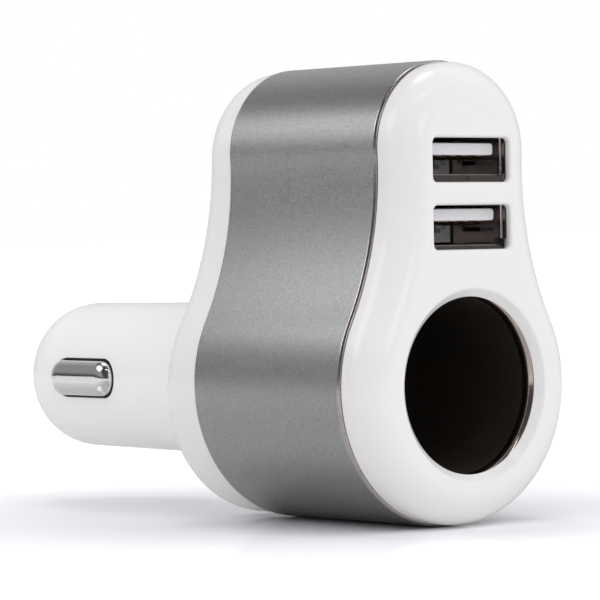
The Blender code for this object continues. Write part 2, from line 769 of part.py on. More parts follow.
def upright(name, profile, x, y, z, steps=MEDIUM_STEPS, ring=False):
    """A turned piece that stands on the main board."""
    obj = turned(name, profile, steps, ring)
    obj.rotation_euler = (0.0, 0.0, 0.0)
    return place(obj, x, y, z)


def inductor(x, y, z):
    """Drum core with a copper winding round its waist."""
    flange, waist, height, rim = 0.0038, 0.0022, 0.0052, 0.0010
    core = [
        (0, height),
        (flange, height),
        (flange, height - rim),
        (waist, height - rim),
        (waist, rim),
        (flange, rim),
        (flange, 0),
        (0, 0),
    ]
    add_part(upright("inductor_core", core, x, y, z), FERRITE)
    low, high = rim + SEAT, height - rim - SEAT
    inner, outer = waist + SEAT, flange - 0.0003
    winding = [(outer, high), (outer, low), (inner, low), (inner, high)]
    add_part(upright("inductor_winding", winding, x, y, z, ring=True), COPPER)


def capacitor(name, x, y, z, radius, height):
    """Electrolytic can with rounded shoulders and the crimp near its base."""
    shoulder, crimp = 0.0004, 0.0003
    profile = [
        (0, height),
        (radius - shoulder, height),
        (radius, height - shoulder),
        (radius, 0.0018),
        (radius - crimp, 0.0014),
        (radius, 0.0010),
        (radius, 0.0003),
        (radius - crimp, 0),
        (0, 0),
    ]
    add_part(upright(name, profile, x, y, z), CAN_METAL)


def regulator_chip(x, y, z):
    """Flat package with four legs on each side."""
    half_x, half_y, low, high = 0.0019, 0.0025, 0.0002, 0.0016
    pitch, reach, half_leg, leg_top = 0.00127, 0.0030, 0.0002, 0.0005
    chip = box("regulator_chip", (x - half_x, y - half_y, z + low), (x + half_x, y + half_y, z + high))
    round_edges(chip, 0.00015)
    for i in range(4):
        leg_y = y + (i - 1.5) * pitch
        near, far = (x - reach, leg_y - half_leg, z), (x + reach, leg_y + half_leg, z + leg_top)
        join(chip, box(f"chip_legs_{i + 1}", near, far))
    add_part(chip, BLACK_PLASTIC)


# Plug


def side_contact(side, sign):
    """Crowned chrome contact in the barrel's slot, flanged at its back, on an empty that marks its travel."""
    hub = bpy.data.objects.new(f"side_contact_{side}_travel", None)
    hub.location = (0.0, CONTACT_Y, 0.0)
    hub.rotation_euler = (0.0, 0.0, 0.0 if sign > 0 else math.pi)
    PARTS.objects.link(hub)
    inside = CONTACT_FLANGE_X[0] + SINK
    contact = prism(f"side_contact_{side}", stadium(*CONTACT), inside, CONTACT_TOP_X, "X")
    round_rim(contact, 1, CONTACT_ROUNDING, 4)
    join(contact, prism(f"contact_flange_{side}", stadium(*CONTACT_FLANGE), *CONTACT_FLANGE_X, "X"), hub)
    peg = rod(f"contact_peg_{side}", CONTACT_PEG_R, CONTACT_FLANGE_X[0] - CONTACT_PEG, inside)
    peg.rotation_euler = (0.0, math.pi / 2, 0.0)
    join(contact, peg, hub)
    add_part(contact, CHROME, hub)
    start = GROUND_R + SEAT + SIDE_WIRE_R
    end = CONTACT_FLANGE_X[0] - SEAT - SIDE_WIRE_R
    spring = coil(f"side_spring_{side}", SIDE_SPRING_R, SIDE_WIRE_R, 3, end - start)
    spring.location = (start, 0.0, 0.0)
    spring.rotation_euler = (0.0, math.pi / 2, 0.0)
    add_part(spring, SPRING_STEEL, hub)


def tip_contact():
    """Round contact that stands out of the nose, with the flange that keeps it in."""
    back, flange = TIP_FLANGE_Y
    dome = 0.0012
    steps = 4
    profile = [(0, TIP_Y)]
    for i in range(1, steps + 1):
        angle = math.pi / 2 * i / steps
        profile.append((TIP_STEM_R * math.sin(angle), TIP_Y - dome + dome * math.cos(angle)))
    profile += [(TIP_STEM_R, flange), (TIP_FLANGE_R, flange), (TIP_FLANGE_R, back), (0, back)]
    add_part(turned("tip_contact", profile, MEDIUM_STEPS), CHROME)


def fuse():
    """Glass fuse behind the tip: a tube, a cap on each end and the element through it."""
    start, end = FUSE_Y
    wall = 0.0002
    element_r = 0.00015
    bore = FUSE_GLASS_R + SEAT
    reaches = {"rear": (start, start + FUSE_CAP_LENGTH), "front": (end, end - FUSE_CAP_LENGTH)}
    for side, (outer, inner) in reaches.items():
        inside = outer + math.copysign(wall, inner - outer)
        profile = [(FUSE_CAP_R, outer), (FUSE_CAP_R, inner), (bore, inner), (bore, inside), (0, inside)]
        profile = [(0, outer)] + profile
        if inner > outer:
            profile.reverse()
        add_part(turned(f"fuse_cap_{side}", profile, SMALL_STEPS), STEEL)
    inset = wall + SEAT
    low, high = start + inset, end - inset
    add_part(tube("fuse_glass", FUSE_GLASS_R, FUSE_GLASS_R - FUSE_WALL, low, high, SMALL_STEPS), FUSE_GLASS)
    add_part(rod("fuse_element", element_r, low, high, 8), COPPER)


def contact_carrier():
    """Insulating tube in the barrel that guides the fuse and the tip, with a floor round the terminal."""
    flange_low, flange_high = CARRIER_FLANGE_Y
    hole, lead_hole_z = 0.0009, 0.0058
    shoulder = CARRIER_HEAD_Y + 0.0007
    profile = [
        (CARRIER_HEAD_R, CARRIER_END_Y),
        (CARRIER_HEAD_R, CARRIER_HEAD_Y),
        (CARRIER_R, CARRIER_HEAD_Y),
        (CARRIER_R, flange_high),
        (CARRIER_FLANGE_R, flange_high),
        (CARRIER_FLANGE_R, flange_low),
        (hole, flange_low),
        (hole, CARRIER_FLOOR_Y),
        (CARRIER_BORE_R, CARRIER_FLOOR_Y),
        (CARRIER_BORE_R, shoulder),
        (CARRIER_HEAD_BORE_R, shoulder),
        (CARRIER_HEAD_BORE_R, CARRIER_END_Y),
    ]
    carrier = turned("contact_carrier", profile, MEDIUM_STEPS, ring=True)
    lead_hole = rod("carrier_lead_hole", hole, flange_low - OVERRUN, flange_high + OVERRUN, 12)
    cut(carrier, place(lead_hole, 0.0, 0.0, lead_hole_z))
    add_part(carrier, BLACK_PLASTIC)


def ground_sleeve():
    """Metal ring on the carrier that both side springs bear on."""
    ring = tube("ground_sleeve", GROUND_R, GROUND_R - GROUND_WALL, *GROUND_Y, MEDIUM_STEPS)
    add_part(ring, SPRING_STEEL)


def tip_spring():
    """Spring behind the fuse and the terminal disc that it stands on."""
    low, high = SPRING_SEAT_Y
    disc, stub, end = 0.0027, 0.0006, SPRING_SEAT_STUB_Y
    seat = [(0, high), (disc, high), (disc, low), (stub, low), (stub, end), (0, end)]
    add_part(turned("spring_seat", seat, SMALL_STEPS), BRASS)
    start = high + SEAT + TIP_WIRE_R
    spring = coil("tip_spring", TIP_SPRING_R, TIP_WIRE_R, 5, FUSE_Y[0] - SEAT - TIP_WIRE_R - start)
    spring.location = (0.0, start, 0.0)
    spring.rotation_euler = (-math.pi / 2, 0.0, 0.0)
    add_part(spring, SPRING_STEEL)


def leads():
    """Three leads up to the main board, from the plug's tip, its side contacts and the socket's rivet."""
    behind = -0.0038
    start_y = SPRING_SEAT_STUB_Y - GAP
    positive = [(0, start_y, 0), (0.0012, behind, 0.0040), (0.0026, behind, 0.0125)]
    lead("positive_lead", positive, 0.0022, RED_LEAD)
    ground = [(0, GROUND_Y[0] - 0.0010, 0.0052), (0, 0.0080, 0.0058), (0, -0.0006, 0.0058)]
    ground += [(-0.0004, behind, 0.0090), (-0.0006, behind, 0.0128)]
    lead("ground_lead", ground, -0.0008, BLACK_LEAD)
    socket = [(-0.0020, behind, 0.0), (-0.0036, behind, 0.0060), (-0.0040, behind, 0.0125)]
    lead("socket_lead", socket, -0.0040, YELLOW_LEAD)


def lead(name, route, end_x, material):
    """A lead along a route, then over the main board's rear edge and down to its top."""
    board_top = MAIN_BOARD_Z + BOARD
    over = [(end_x, -0.0046, board_top + 0.0012), (end_x, -0.0060, board_top + LEAD_R + 0.0002)]
    add_part(wire(name, route + over, LEAD_R, smooth=True), material)


def build():
    front_cover()
    metal_sleeve()
    rear_cover()
    socket_rim()
    socket_well()
    socket_liner()
    socket_centre_contact()
    for level, z in PORT_Z.items():
        usb_port(level, z)
    usb_board()
    board_screws()
    main_board()
    side_contact("left", -1)
    side_contact("right", 1)
    tip_contact()
    fuse()
    contact_carrier()
    ground_sleeve()
    tip_spring()
    leads()


build()
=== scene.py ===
"""Looks of the car socket splitter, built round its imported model, in metres and in the model's own frame."""

import math

import bmesh
import bpy
from mathutils import Matrix, Quaternion, Vector


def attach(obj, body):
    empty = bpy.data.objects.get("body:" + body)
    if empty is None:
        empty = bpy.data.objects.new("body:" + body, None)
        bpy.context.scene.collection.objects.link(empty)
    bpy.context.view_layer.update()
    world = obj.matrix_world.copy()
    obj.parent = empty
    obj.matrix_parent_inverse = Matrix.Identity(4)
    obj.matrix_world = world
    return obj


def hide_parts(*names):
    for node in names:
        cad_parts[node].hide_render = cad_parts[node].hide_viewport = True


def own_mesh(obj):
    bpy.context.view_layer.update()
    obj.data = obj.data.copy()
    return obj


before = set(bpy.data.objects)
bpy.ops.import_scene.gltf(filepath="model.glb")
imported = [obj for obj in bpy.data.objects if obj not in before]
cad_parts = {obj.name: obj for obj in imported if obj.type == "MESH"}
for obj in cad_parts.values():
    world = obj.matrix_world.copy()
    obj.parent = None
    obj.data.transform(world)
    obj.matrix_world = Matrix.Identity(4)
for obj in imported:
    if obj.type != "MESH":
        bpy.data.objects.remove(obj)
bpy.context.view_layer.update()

# Pear-shaped outline of the housing
LOWER_R, UPPER_R, LOBE_RISE, FLANK_R = 0.0179, 0.0113, 0.0295, 0.0405

# Housing along its depth
FACE_Y, FRONT_SEAM_Y, REAR_SEAM_Y = -0.0418, -0.0362, -0.0079
BACK_SLOPE = 0.062
FRONT_ROUNDING, BACK_ROUNDING = 0.0042, 0.0035
COVER_INSET, SPIGOT_INSET, CAVITY_INSET = 0.0003, 0.0013, 0.0026
CAVITY_ROUNDING = 0.0012
SPIGOT_LENGTH = 0.0030
PLATE, BACK_PLATE = 0.0018, 0.0020
SLEEVE_WALL, SLEEVE_EDGE, COVER_EDGE = 0.0010, 0.00040, 0.00012
GAP, SEAM_GAP, SINK, OVERRUN = 0.0003, 0.0001, 0.0003, 0.0010

# Socket
MOUTH_R, MOUTH_CHAMFER, MOUTH_LAND, MOUTH_EDGE_R = 0.01112, 0.0010, 0.00006, 0.00060
COLLAR_R, COLLAR_BORE_R, COLLAR_END_Y, COLLAR_EDGE_R = 0.0139, 0.0127, -0.0360, 0.0002
RIM_R, RIM_LIP_R, RIM_FRONT_Y, RIM_BACK_Y, RIM_PROUD = 0.0126, 0.0014, -0.04058, -0.0389, 0.00005
WELL_R, WELL_BORE_R, WELL_FRONT_Y, WELL_END_Y, WELL_FLOOR = 0.0124, 0.0115, -0.0386, -0.0050, 0.0015
LINER_R, LINER_BORE_R, LINER_TAB_Y = 0.01143, 0.01110, -0.0134
LINER_TAB_HALF, LINER_TAB_RISE, TAB_SLOT_Z = (0.0010, 0.0003), 0.0006, (0.0105, 0.0134)
RIVET_R, RIVET_SHANK_R, RIVET_HEAD = 0.0034, 0.0010, 0.0006
WELL_REST_R, WELL_REST_BORE_R = 0.0122, 0.0108
LEAD_NOTCH = (-0.0055, -0.0060, 0.0080), (0.0055, -0.0026, 0.0140)

# USB ports
PORT_Z = {"upper": 0.02813, "lower": 0.01974}
WINDOW, WINDOW_CORNER_R, WINDOW_LIP, WINDOW_PLATE = (0.0130, 0.0055), 0.0007, 0.00042, 0.0008
SHELL, SHELL_WALL, SHELL_RISE = (0.0129, 0.0056), 0.0003, 0.00035
SHELL_LIP, SHELL_EDGE, SHELL_SHOULDER = (0.0135, 0.0062), 0.00007, 0.00019
SHELL_CORNER_R, SHELL_BEVEL, SILL_LENGTH, SEAM_HALF = 0.0003, 0.00003, 0.0012, 0.00005
SHELL_SILL = {"upper": 0.00042, "lower": 0.0}
SHELL_LIP_Y, SHELL_FRONT_Y, SHELL_END_Y = -0.0409, -0.0403, -0.0265
CORNER_NOTCH = {"lower": ((0.0059, -0.0034), (0.0070, -0.0018))}
FINGER_SLOT, FINGER_X, SIDE_FINGER_Z = 0.00052, 0.0029, 0.0001
FLOOR_FINGER, SIDE_FINGER = (0.0023, 0.0058), (0.0009, 0.0056)
FLOOR_FINGER_BACK, SIDE_FINGER_BACK = 0.0016, 0.0014
TONGUE_RISE = {"upper": 0.0, "lower": 0.0002}
PORT_BLOCK = 0.0048
TONGUE, TONGUE_TOP, TONGUE_FRONT_Y = (0.0111, 0.00152), 0.00215, -0.0397
TONGUE_CORNER_R, TONGUE_EDGE, PIN_PLAY = 0.00045, 0.00012, 0.0001
PIN_X, PIN_HALF, PIN_SHEET = (-0.0035, -0.0010, 0.0010, 0.0035), 0.0005, 0.00018
PIN_BOW = (
    (-0.0393, 0.00006), (-0.0390, -0.00012), (-0.0384, -0.00034), (-0.0376, -0.00042),
    (-0.0367, -0.00034), (-0.0355, -0.00012), (-0.0244, -0.00008),
)

# Boards inside
MAIN_BOARD_Z, BOARD = 0.0132, 0.0012
POSTS = {"top": (0.0, 0.0344), "left": (-0.0088, 0.0144), "right": (0.0088, 0.0144)}
POST_R, PILOT_R, PILOT_DEPTH = 0.0020, 0.0011, 0.0060
RAIL_X, RAIL_HALF, RAIL_Y, RAIL_Z = 0.0103, 0.0015, (-0.0068, -0.0022), (0.0117, 0.0159)
BOARD_SLOT_X, BOARD_SLOT_END_Y = 0.0099, -0.0049

# Plug
BARREL_ROOT_R, BARREL_END_R, BARREL_END_Y = 0.0103, 0.01005, 0.0345
NOSE_Y, NOSE_FLAT_R, NOSE_HOLE_R, NOSE_INNER_Y = 0.0416, 0.00475, 0.0029, 0.0381
ROOT_FILLET, NOSE_CHAMFER = 0.0010, 0.00020
BORE_R, BORE_STRAIGHT_Y, BORE_NOSE_R = 0.0086, 0.0340, 0.0062
CONTACT_Y, SLOT, SLOT_LIP = 0.0258, (0.0137, 0.0054), 0.00012
CONTACT, CONTACT_TOP_X, CONTACT_CROWN, CROWN_FULLNESS = (0.0131, 0.0048), 0.0115, 0.0014, 2.4
# The black collar in each contact slot is painted shade, a dark sheet in the shaded gap round the contact
COLLAR_SUNK, COLLAR_PLAY, COLLAR_FOOT_X = 0.00022, 0.00006, 0.00872
CONTACT_FLANGE, CONTACT_FLANGE_X = (0.0142, 0.0066), (0.0068, 0.0076)
SLOT_CUT_X, CROWN_STEPS = (0.0050, 0.0125), 36
PEG_R, PEG_LENGTH, PEG_REACH = 0.0010, 0.0010, 0.0008
TIP_Y, TIP_STEM_R, TIP_FLANGE_R, TIP_FLANGE_Y = 0.0452, 0.0026, 0.0040, (0.0363, 0.0378)

# Springs: start, direction, radius, wire, length, turns, joint, and the share of the length that stays
SIDE_COIL = 0.00155, 0.0002, 0.00215, 4.5
SPRINGS = {
    "tip_spring": ((0, 0.0051, 0), (0, 1, 0), 0.0022, 0.0003, 0.0105, 7.0, "tip_press", 0.70),
    "side_spring_left": ((-0.00435, CONTACT_Y, 0), (-1, 0, 0), *SIDE_COIL, "left_contact_press", 0.45),
    "side_spring_right": ((0.00435, CONTACT_Y, 0), (1, 0, 0), *SIDE_COIL, "right_contact_press", 0.45),
}

# Studio
LENS, EYE, TARGET, ROLL = 208.6, (-0.2986, -0.3558, 0.0190), (0.0, -0.00845, 0.01057), -0.0169
ROOM_GLOW = 0.42
ROOM_LOBES = {
    "front": ((0.0, -1.0, 0.0), -0.3, 0.6, 0.50),
    "front_right": ((0.64, -0.76, 0.1), 0.3, 0.9, 0.10),
    "above": ((0.0, -0.2, 1.0), 0.5, 0.95, 0.22),
    "backdrop": ((0.65, 0.76, 0.15), 0.70, 0.97, 0.12),
}
UNLIT_SIDES = {
    "front_left": ((-0.45, -0.70, 0.55), 0.2, 0.75, 0.93),
    "left_back_high": ((-0.30, 0.35, 0.89), 0.80, 0.97, 0.80),
    "left_back": ((-0.62, 0.70, 0.30), 0.80, 0.97, 0.38),
}
SKIRTING_RISE, SKIRTING_SIDE, SKIRTING_DEPTH = (0.03, 0.20), (-0.10, -0.45), 0.85
SOFTBOXES = {
    "left_back_box": (-122, 32, (0.41, 0.38), 1.65),
    "glint_box": (-22, 58, (0.47, 0.057), 3.0),
    "front_box": (-5, 20, (0.27, 0.25), 1.45),
    "top_box": (164, 75, (0.34, 0.34), 2.6),
    "plug_box": (-107.4, 43.7, (0.068, 0.056), 0.65, 0.1014, (0, 0.028, 0)),
}
TABLE_TONE, TABLE_POLISH, TABLE_BACKLIGHT = 0.90, 0.22, 0.13
# Painted shadow: the table's tone is darker and bluer near the housing, for the camera and for glossy rays
TABLE_SEEN_WITH_PAINTED_SHADOW, PAINTED_SHADOW_FROM, PAINTED_SHADOW_TO = ((0.96, 0.945, 1.01), (1.44, 1.435, 1.46)), 0.03, 0.080
TABLE_FADE, FADE_FROM, FADE_TO = 0.35, 0.15, 0.60
TABLE_MIRRORED_WITH_PAINTED_SHADOW, MIRRORED_SHADOW_FROM, MIRRORED_SHADOW_TO = (0.62, 0.98), 0.055, 0.17

# Whites of the housing and of the plug; the plug's lighter, warmer tone is painted light, standing in for the
# extra light that falls on it
WHITE, WHITE_GLOSS = (0.892, 0.879, 0.886), 0.13
PLUG_LIT_TONE, PLUG_LIT_TONE_Y = (0.96, 0.938, 0.938), (0.0002, 0.0012)

# Sleeve metal, its turned ends, and how glossy these are
BLASTED, TURNED = (0.465, 0.465, 0.475, 1.0), (0.60, 0.545, 0.525, 1.0)
TURNED_GLOSS, TURNED_BLEND = 0.20, 0.00004

# Receptacle steel in lit and shaded copies: painted shade on its lip, a painted highlight on the edge round
# the mouth, and its inside; the end walls are painted lighter than floor and roof
SHELL_LIT_AND_SHADED_TONES = {
    "floor": ((0.068, 0.058, 0.055), (0.16, 0.145, 0.14), (0.30, 0.25, 0.235)),
    "ends": ((0.20, 0.165, 0.155), (0.95, 0.92, 0.90), (0.56, 0.46, 0.43)),
}

# Steps round the smooth shapes
LOWER_STEPS, UPPER_STEPS, FLANK_STEPS = 96, 72, 22
ROUND_STEPS = 14
TURN_STEPS, MOUTH_STEPS = 128, 192
CORNER_STEPS, SLOT_STEPS, NOSE_STEPS = 6, 36, 20


# Outlines and profiles


def arc(x, z, radius, start, end, steps):
    """Points round a centre, without the last angle's."""
    angles = [start + (end - start) * i / steps for i in range(steps)]
    return [(x + radius * math.cos(a), z + radius * math.sin(a)) for a in angles]


def pear(inset):
    """The housing's outline, drawn in from its largest size by inset. Each flank is tangent to both lobes."""
    to_lower, to_upper = LOWER_R + FLANK_R, UPPER_R + FLANK_R
    z = (to_lower**2 - to_upper**2 + LOBE_RISE**2) / (2 * LOBE_RISE)
    x = math.sqrt(to_lower**2 - z**2)
    low, high = math.atan2(z, x), math.atan2(z - LOBE_RISE, x)
    flank = FLANK_R + inset
    points = arc(0, 0, LOWER_R - inset, math.pi - low, 2 * math.pi + low, LOWER_STEPS)
    points += arc(x, z, flank, math.pi + low, math.pi + high, FLANK_STEPS)
    points += arc(0, LOBE_RISE, UPPER_R - inset, high, math.pi - high, UPPER_STEPS)
    points += arc(-x, z, flank, -high, -low, FLANK_STEPS)
    return points


def rounded_rectangle(width, height, radius):
    x, z = width / 2 - radius, height / 2 - radius
    points = []
    for i, corner in enumerate([(x, z), (-x, z), (-x, -z), (x, -z)]):
        start = i * math.pi / 2
        points += arc(*corner, radius, start, start + math.pi / 2, CORNER_STEPS)
        points.append((corner[0] - radius * math.sin(start), corner[1] + radius * math.cos(start)))
    return points


def stadium(length, height, inset=0.0):
    """A slot's outline. Its straight sides keep their length when it is drawn in."""
    half, radius = (length - height) / 2, height / 2 - inset
    right = arc(half, 0, radius, -math.pi / 2, math.pi / 2, SLOT_STEPS) + [(half, radius)]
    return right + [(-x, -z) for x, z in right]


def soften(corners, steps=CORNER_STEPS):
    """A profile whose corners, given as (across, along, radius), are rounded."""
    points = []
    for i, (x, y, *radius) in enumerate(corners):
        if not radius:
            points.append((x, y))
            continue
        here = Vector((x, y))
        back = (Vector(corners[i - 1][:2]) - here).normalized()
        ahead = (Vector(corners[(i + 1) % len(corners)][:2]) - here).normalized()
        half = back.angle(ahead) / 2
        centre = here + (back + ahead).normalized() * radius[0] / math.sin(half)
        spoke = here + back * radius[0] / math.tan(half) - centre
        turn = math.copysign(math.pi - 2 * half, back.cross(ahead) * -1)
        for k in range(steps + 1):
            angle = turn * k / steps
            points.append((
                centre.x + spoke.x * math.cos(angle) - spoke.y * math.sin(angle),
                centre.y + spoke.x * math.sin(angle) + spoke.y * math.cos(angle),
            ))
    return points


# Bodies made in mesh code


def new_object(name, data):
    made = bpy.data.objects.new(name, data)
    bpy.context.scene.collection.objects.link(made)
    return made


def new_body(name, bm):
    bmesh.ops.recalc_face_normals(bm, faces=bm.faces)
    mesh = bpy.data.meshes.new(name)
    bm.to_mesh(mesh)
    bm.free()
    return new_object(name, mesh)


def loft(name, rings, hollow=False):
    """A closed body through rings of one number of points, or of a single point. Its first and last ring are
    filled, or joined to each other if it is hollow."""
    bm = bmesh.new()
    rows = [[bm.verts.new(point) for point in ring] for ring in rings]
    if hollow:
        rows.append(rows[0])
    else:
        for row in rows[0], rows[-1]:
            if len(row) > 1:
                bm.faces.new(row)
    for near, far in zip(rows, rows[1:]):
        for i in range(max(len(near), len(far))):
            near_edge = near if len(near) == 1 else [near[i - 1], near[i]]
            far_edge = far if len(far) == 1 else [far[i], far[i - 1]]
            bm.faces.new(near_edge + far_edge)
    return new_body(name, bm)


def turned(name, profile, steps=TURN_STEPS, tilt=0.0):
    """A profile of (radius, y) turned about the plug's axis, joined up unless its ends lie on it."""
    rings = []
    for radius, y in profile:
        around = arc(0, 0, radius, 0, 2 * math.pi, steps) if radius else [(0, 0)]
        rings.append([(x, y, z) for x, z in around])
    body = loft(name, rings, hollow=bool(profile[0][0]))
    body.data.transform(Matrix.Rotation(tilt, 4, "X"))
    return body


def tube_profile(outer, inner, start, end, *edge):
    return [(outer, start, *edge), (outer, end), (inner, end), (inner, start)]


def block(name, low, high):
    bm = bmesh.new()
    size, centre = Vector(high) - Vector(low), (Vector(low) + Vector(high)) / 2
    bmesh.ops.create_cube(bm, size=1.0, matrix=Matrix.Translation(centre) @ Matrix.Diagonal((*size, 1.0)))
    return new_body(name, bm)


def on_axis(axis, a, b, along):
    """The point that a flat outline's point gives, at a place along an axis."""
    return {"X": (along, a, b), "Y": (a, along, b), "Z": (a, b, along)}[axis]


def prism(name, outline, start, end, axis="Y"):
    """A flat outline given a thickness along an axis."""
    return loft(name, [[on_axis(axis, a, b, along) for a, b in outline] for along in (start, end)])


def shift(body, x=0.0, y=0.0, z=0.0):
    body.data.transform(Matrix.Translation((x, y, z)))
    return body


def made_mesh(body):
    """The mesh that a body's modifiers make of it."""
    depsgraph = bpy.context.evaluated_depsgraph_get()
    return bpy.data.meshes.new_from_object(body.evaluated_get(depsgraph), depsgraph=depsgraph)


def settle(body):
    made = made_mesh(body)
    body.modifiers.clear()
    body.data = made
    return body


def work(body, operation, tools):
    """Join tools to a body or cut them from it, one after another."""
    for tool in tools:
        boolean = body.modifiers.new(tool.name, "BOOLEAN")
        boolean.operation = operation
        boolean.object = tool
    settle(body)
    for tool in tools:
        bpy.data.objects.remove(tool, do_unlink=True)
    return body


def join(body, *tools):
    return work(body, "UNION", tools)


def cut(body, *tools):
    return work(body, "DIFFERENCE", tools)


def soft_edges(body, width, segments=2, angle=50):
    bevel = body.modifiers.new("edges", "BEVEL")
    bevel.limit_method = "ANGLE"
    bevel.angle_limit = math.radians(angle)
    bevel.width = width
    bevel.segments = segments
    bevel.use_clamp_overlap = True
    return settle(body)


def shade(body, angle):
    """Smooth the rounded surfaces and keep the flat ones flat."""
    body.data.shade_smooth()
    body.data.set_sharp_from_angle(angle=math.radians(angle))
    even = body.modifiers.new("even shading", "WEIGHTED_NORMAL")
    even.keep_sharp = True
    even.weight = 100
    return settle(body)


# Node trees


def add_node(tree, kind, links=None, family="ShaderNode", **settings):
    """A node with its settings. Links give each input a value, or another node's output to take it from."""
    node = tree.nodes.new(family + kind)
    for key, value in settings.items():
        setattr(node, key, value)
    for key, value in (links or {}).items():
        if isinstance(value, bpy.types.NodeSocket):
            tree.links.new(value, node.inputs[key])
        else:
            node.inputs[key].default_value = value
    return node


def maths(tree, operation, *values):
    return add_node(tree, "Math", dict(enumerate(values)), operation=operation).outputs[0]


def times(tree, first, second):
    return maths(tree, "MULTIPLY", first, second)


def map_range(tree, value, start, end, low=0.0, high=1.0, **settings):
    given = {"Value": value, "From Min": start, "From Max": end, "To Min": low, "To Max": high}
    return add_node(tree, "MapRange", given, **settings).outputs[0]


def mix(tree, factor, first, second, **settings):
    given = {"Factor": factor, "A": first, "B": second}
    return add_node(tree, "Mix", given, **settings).outputs


def mixed_colour(tree, factor, first, second):
    return mix(tree, factor, first, second, data_type="RGBA")["Result"]


def about(tree, value, middle, spread):
    """A value's distance from its middle, times a spread."""
    return times(tree, maths(tree, "SUBTRACT", value, middle), spread)


def place_on_piece(tree):
    return add_node(tree, "TexCoord").outputs["Object"]


def noise(tree, place, scale, detail):
    given = {"Vector": place, "Scale": scale, "Detail": detail}
    return add_node(tree, "TexNoise", given).outputs[0]


def geometry(tree, kind, links=None, **settings):
    return add_node(tree, kind, links, "GeometryNode", **settings).outputs[0]


def socket_kind(value):
    if isinstance(value, tuple):
        return "Color" if len(value) == 4 else "Vector"
    return "Int" if isinstance(value, int) else "Float"


def new_tree(name, kind, inputs, outputs):
    """A tree with named sockets, given by their value or kind, and its input and output nodes."""
    tree = bpy.data.node_groups.new(name, kind)
    for label, value in inputs.items():
        word = value if isinstance(value, str) else socket_kind(value)
        socket = tree.interface.new_socket(label, in_out="INPUT", socket_type=f"NodeSocket{word}")
        if word != value:
            socket.default_value = value
    for label, word in outputs.items():
        tree.interface.new_socket(label, in_out="OUTPUT", socket_type=f"NodeSocket{word}")
    return tree, tree.nodes.new("NodeGroupInput").outputs, tree.nodes.new("NodeGroupOutput").inputs


def run_tree(body, tree, **values):
    """Run a geometry tree on a body with its named inputs set, and keep the mesh that it makes."""
    modifier = body.modifiers.new(tree.name, "NODES")
    modifier.node_group = tree
    for item in tree.interface.items_tree:
        key = item.name.replace(" ", "_").lower()
        if item.in_out == "INPUT" and key in values:
            modifier[item.identifier] = values[key]
    made, name = made_mesh(body), body.name
    bpy.data.objects.remove(body, do_unlink=True)
    bm = bmesh.new()
    bm.from_mesh(made)
    bmesh.ops.remove_doubles(bm, verts=bm.verts, dist=1e-7)
    return new_body(name, bm)


def with_finish(tree, made, given, result):
    """End a geometry tree with real geometry in the given finish."""
    whole = geometry(tree, "RealizeInstances", {"Geometry": made})
    done = geometry(tree, "SetMaterial", {"Geometry": whole, "Material": given["Finish"]})
    tree.links.new(done, result[0])
    return tree


def band_tree():
    """A band of rectangular section with softened edges, along the curve that the body holds."""
    inputs = {"Outline": "Geometry", "Wall": 0.001, "Depth": 0.02, "Edge": 0.0002, "Finish": "Material"}
    tree, given, result = new_tree("Sleeve band", "GeometryNodeTree", inputs, {"Band": "Geometry"})
    size = {"Width": given["Wall"], "Height": given["Depth"]}
    section = geometry(tree, "CurvePrimitiveQuadrilateral", size)
    rounded = {"Curve": section, "Radius": given["Edge"], "Count": 4}
    soft = geometry(tree, "FilletCurve", rounded, mode="POLY")
    upright = geometry(tree, "SetCurveNormal", {"Curve": given["Outline"]}, mode="Z_UP")
    swept = geometry(tree, "CurveToMesh", {"Curve": upright, "Profile Curve": soft})
    return with_finish(tree, swept, given, result)


def coil_tree():
    """A spring of round wire that rises along +Z, with its end turns wound close."""
    inputs = {
        "Geometry": "Geometry", "Turns": 5.0, "Closed Turns": 1.0, "Radius": 0.002,
        "Wire": 0.0003, "Length": 0.01, "Steps": 200, "Finish": "Material",
    }
    tree, given, result = new_tree("Wound spring", "GeometryNodeTree", inputs, {"Spring": "Geometry"})
    line = geometry(tree, "CurvePrimitiveLine")
    points = geometry(tree, "ResampleCurve", {"Curve": line, "Count": given["Steps"]})
    along = geometry(tree, "SplineParameter")
    turn = times(tree, along, given["Turns"])
    angle = times(tree, turn, 2 * math.pi)
    pitch = times(tree, given["Wire"], 2.02)
    closed = times(tree, given["Closed Turns"], pitch)
    open_end = maths(tree, "SUBTRACT", given["Turns"], given["Closed Turns"])
    rise = maths(tree, "SUBTRACT", given["Length"], times(tree, closed, 2.0))

    low = map_range(tree, turn, 0.0, given["Closed Turns"], high=closed)
    middle = map_range(tree, turn, given["Closed Turns"], open_end, high=rise)
    high = map_range(tree, turn, open_end, given["Turns"], high=closed)
    height = maths(tree, "ADD", maths(tree, "ADD", low, middle), high)
    x = times(tree, maths(tree, "COSINE", angle), given["Radius"])
    y = times(tree, maths(tree, "SINE", angle), given["Radius"])
    place = add_node(tree, "CombineXYZ", {"X": x, "Y": y, "Z": height})
    helix = geometry(tree, "SetPosition", {"Geometry": points, "Position": place.outputs[0]})
    section = geometry(tree, "CurvePrimitiveCircle", {"Resolution": 12, "Radius": given["Wire"]})
    wire = geometry(tree, "CurveToMesh", {"Curve": helix, "Profile Curve": section, "Fill Caps": True})
    return with_finish(tree, wire, given, result)


# Finishes


def surface_group(name, inputs):
    """A finish's group with its three outputs."""
    outputs = {"Colour": "Color", "Roughness": "Float", "Height": "Float"}
    return new_tree(name, "ShaderNodeTree", inputs, outputs)


def surface(tree, given, result, tone, gloss, height):
    """End a finish's group. Tone and gloss are added to those given."""
    bright = maths(tree, "ADD", 1.0, tone)
    shaded = add_node(tree, "VectorMath", {0: given["Base"], "Scale": bright}, operation="SCALE")
    tree.links.new(shaded.outputs[0], result["Colour"])
    tree.links.new(maths(tree, "ADD", given["Gloss"], gloss), result["Roughness"])
    tree.links.new(height, result["Height"])
    return tree


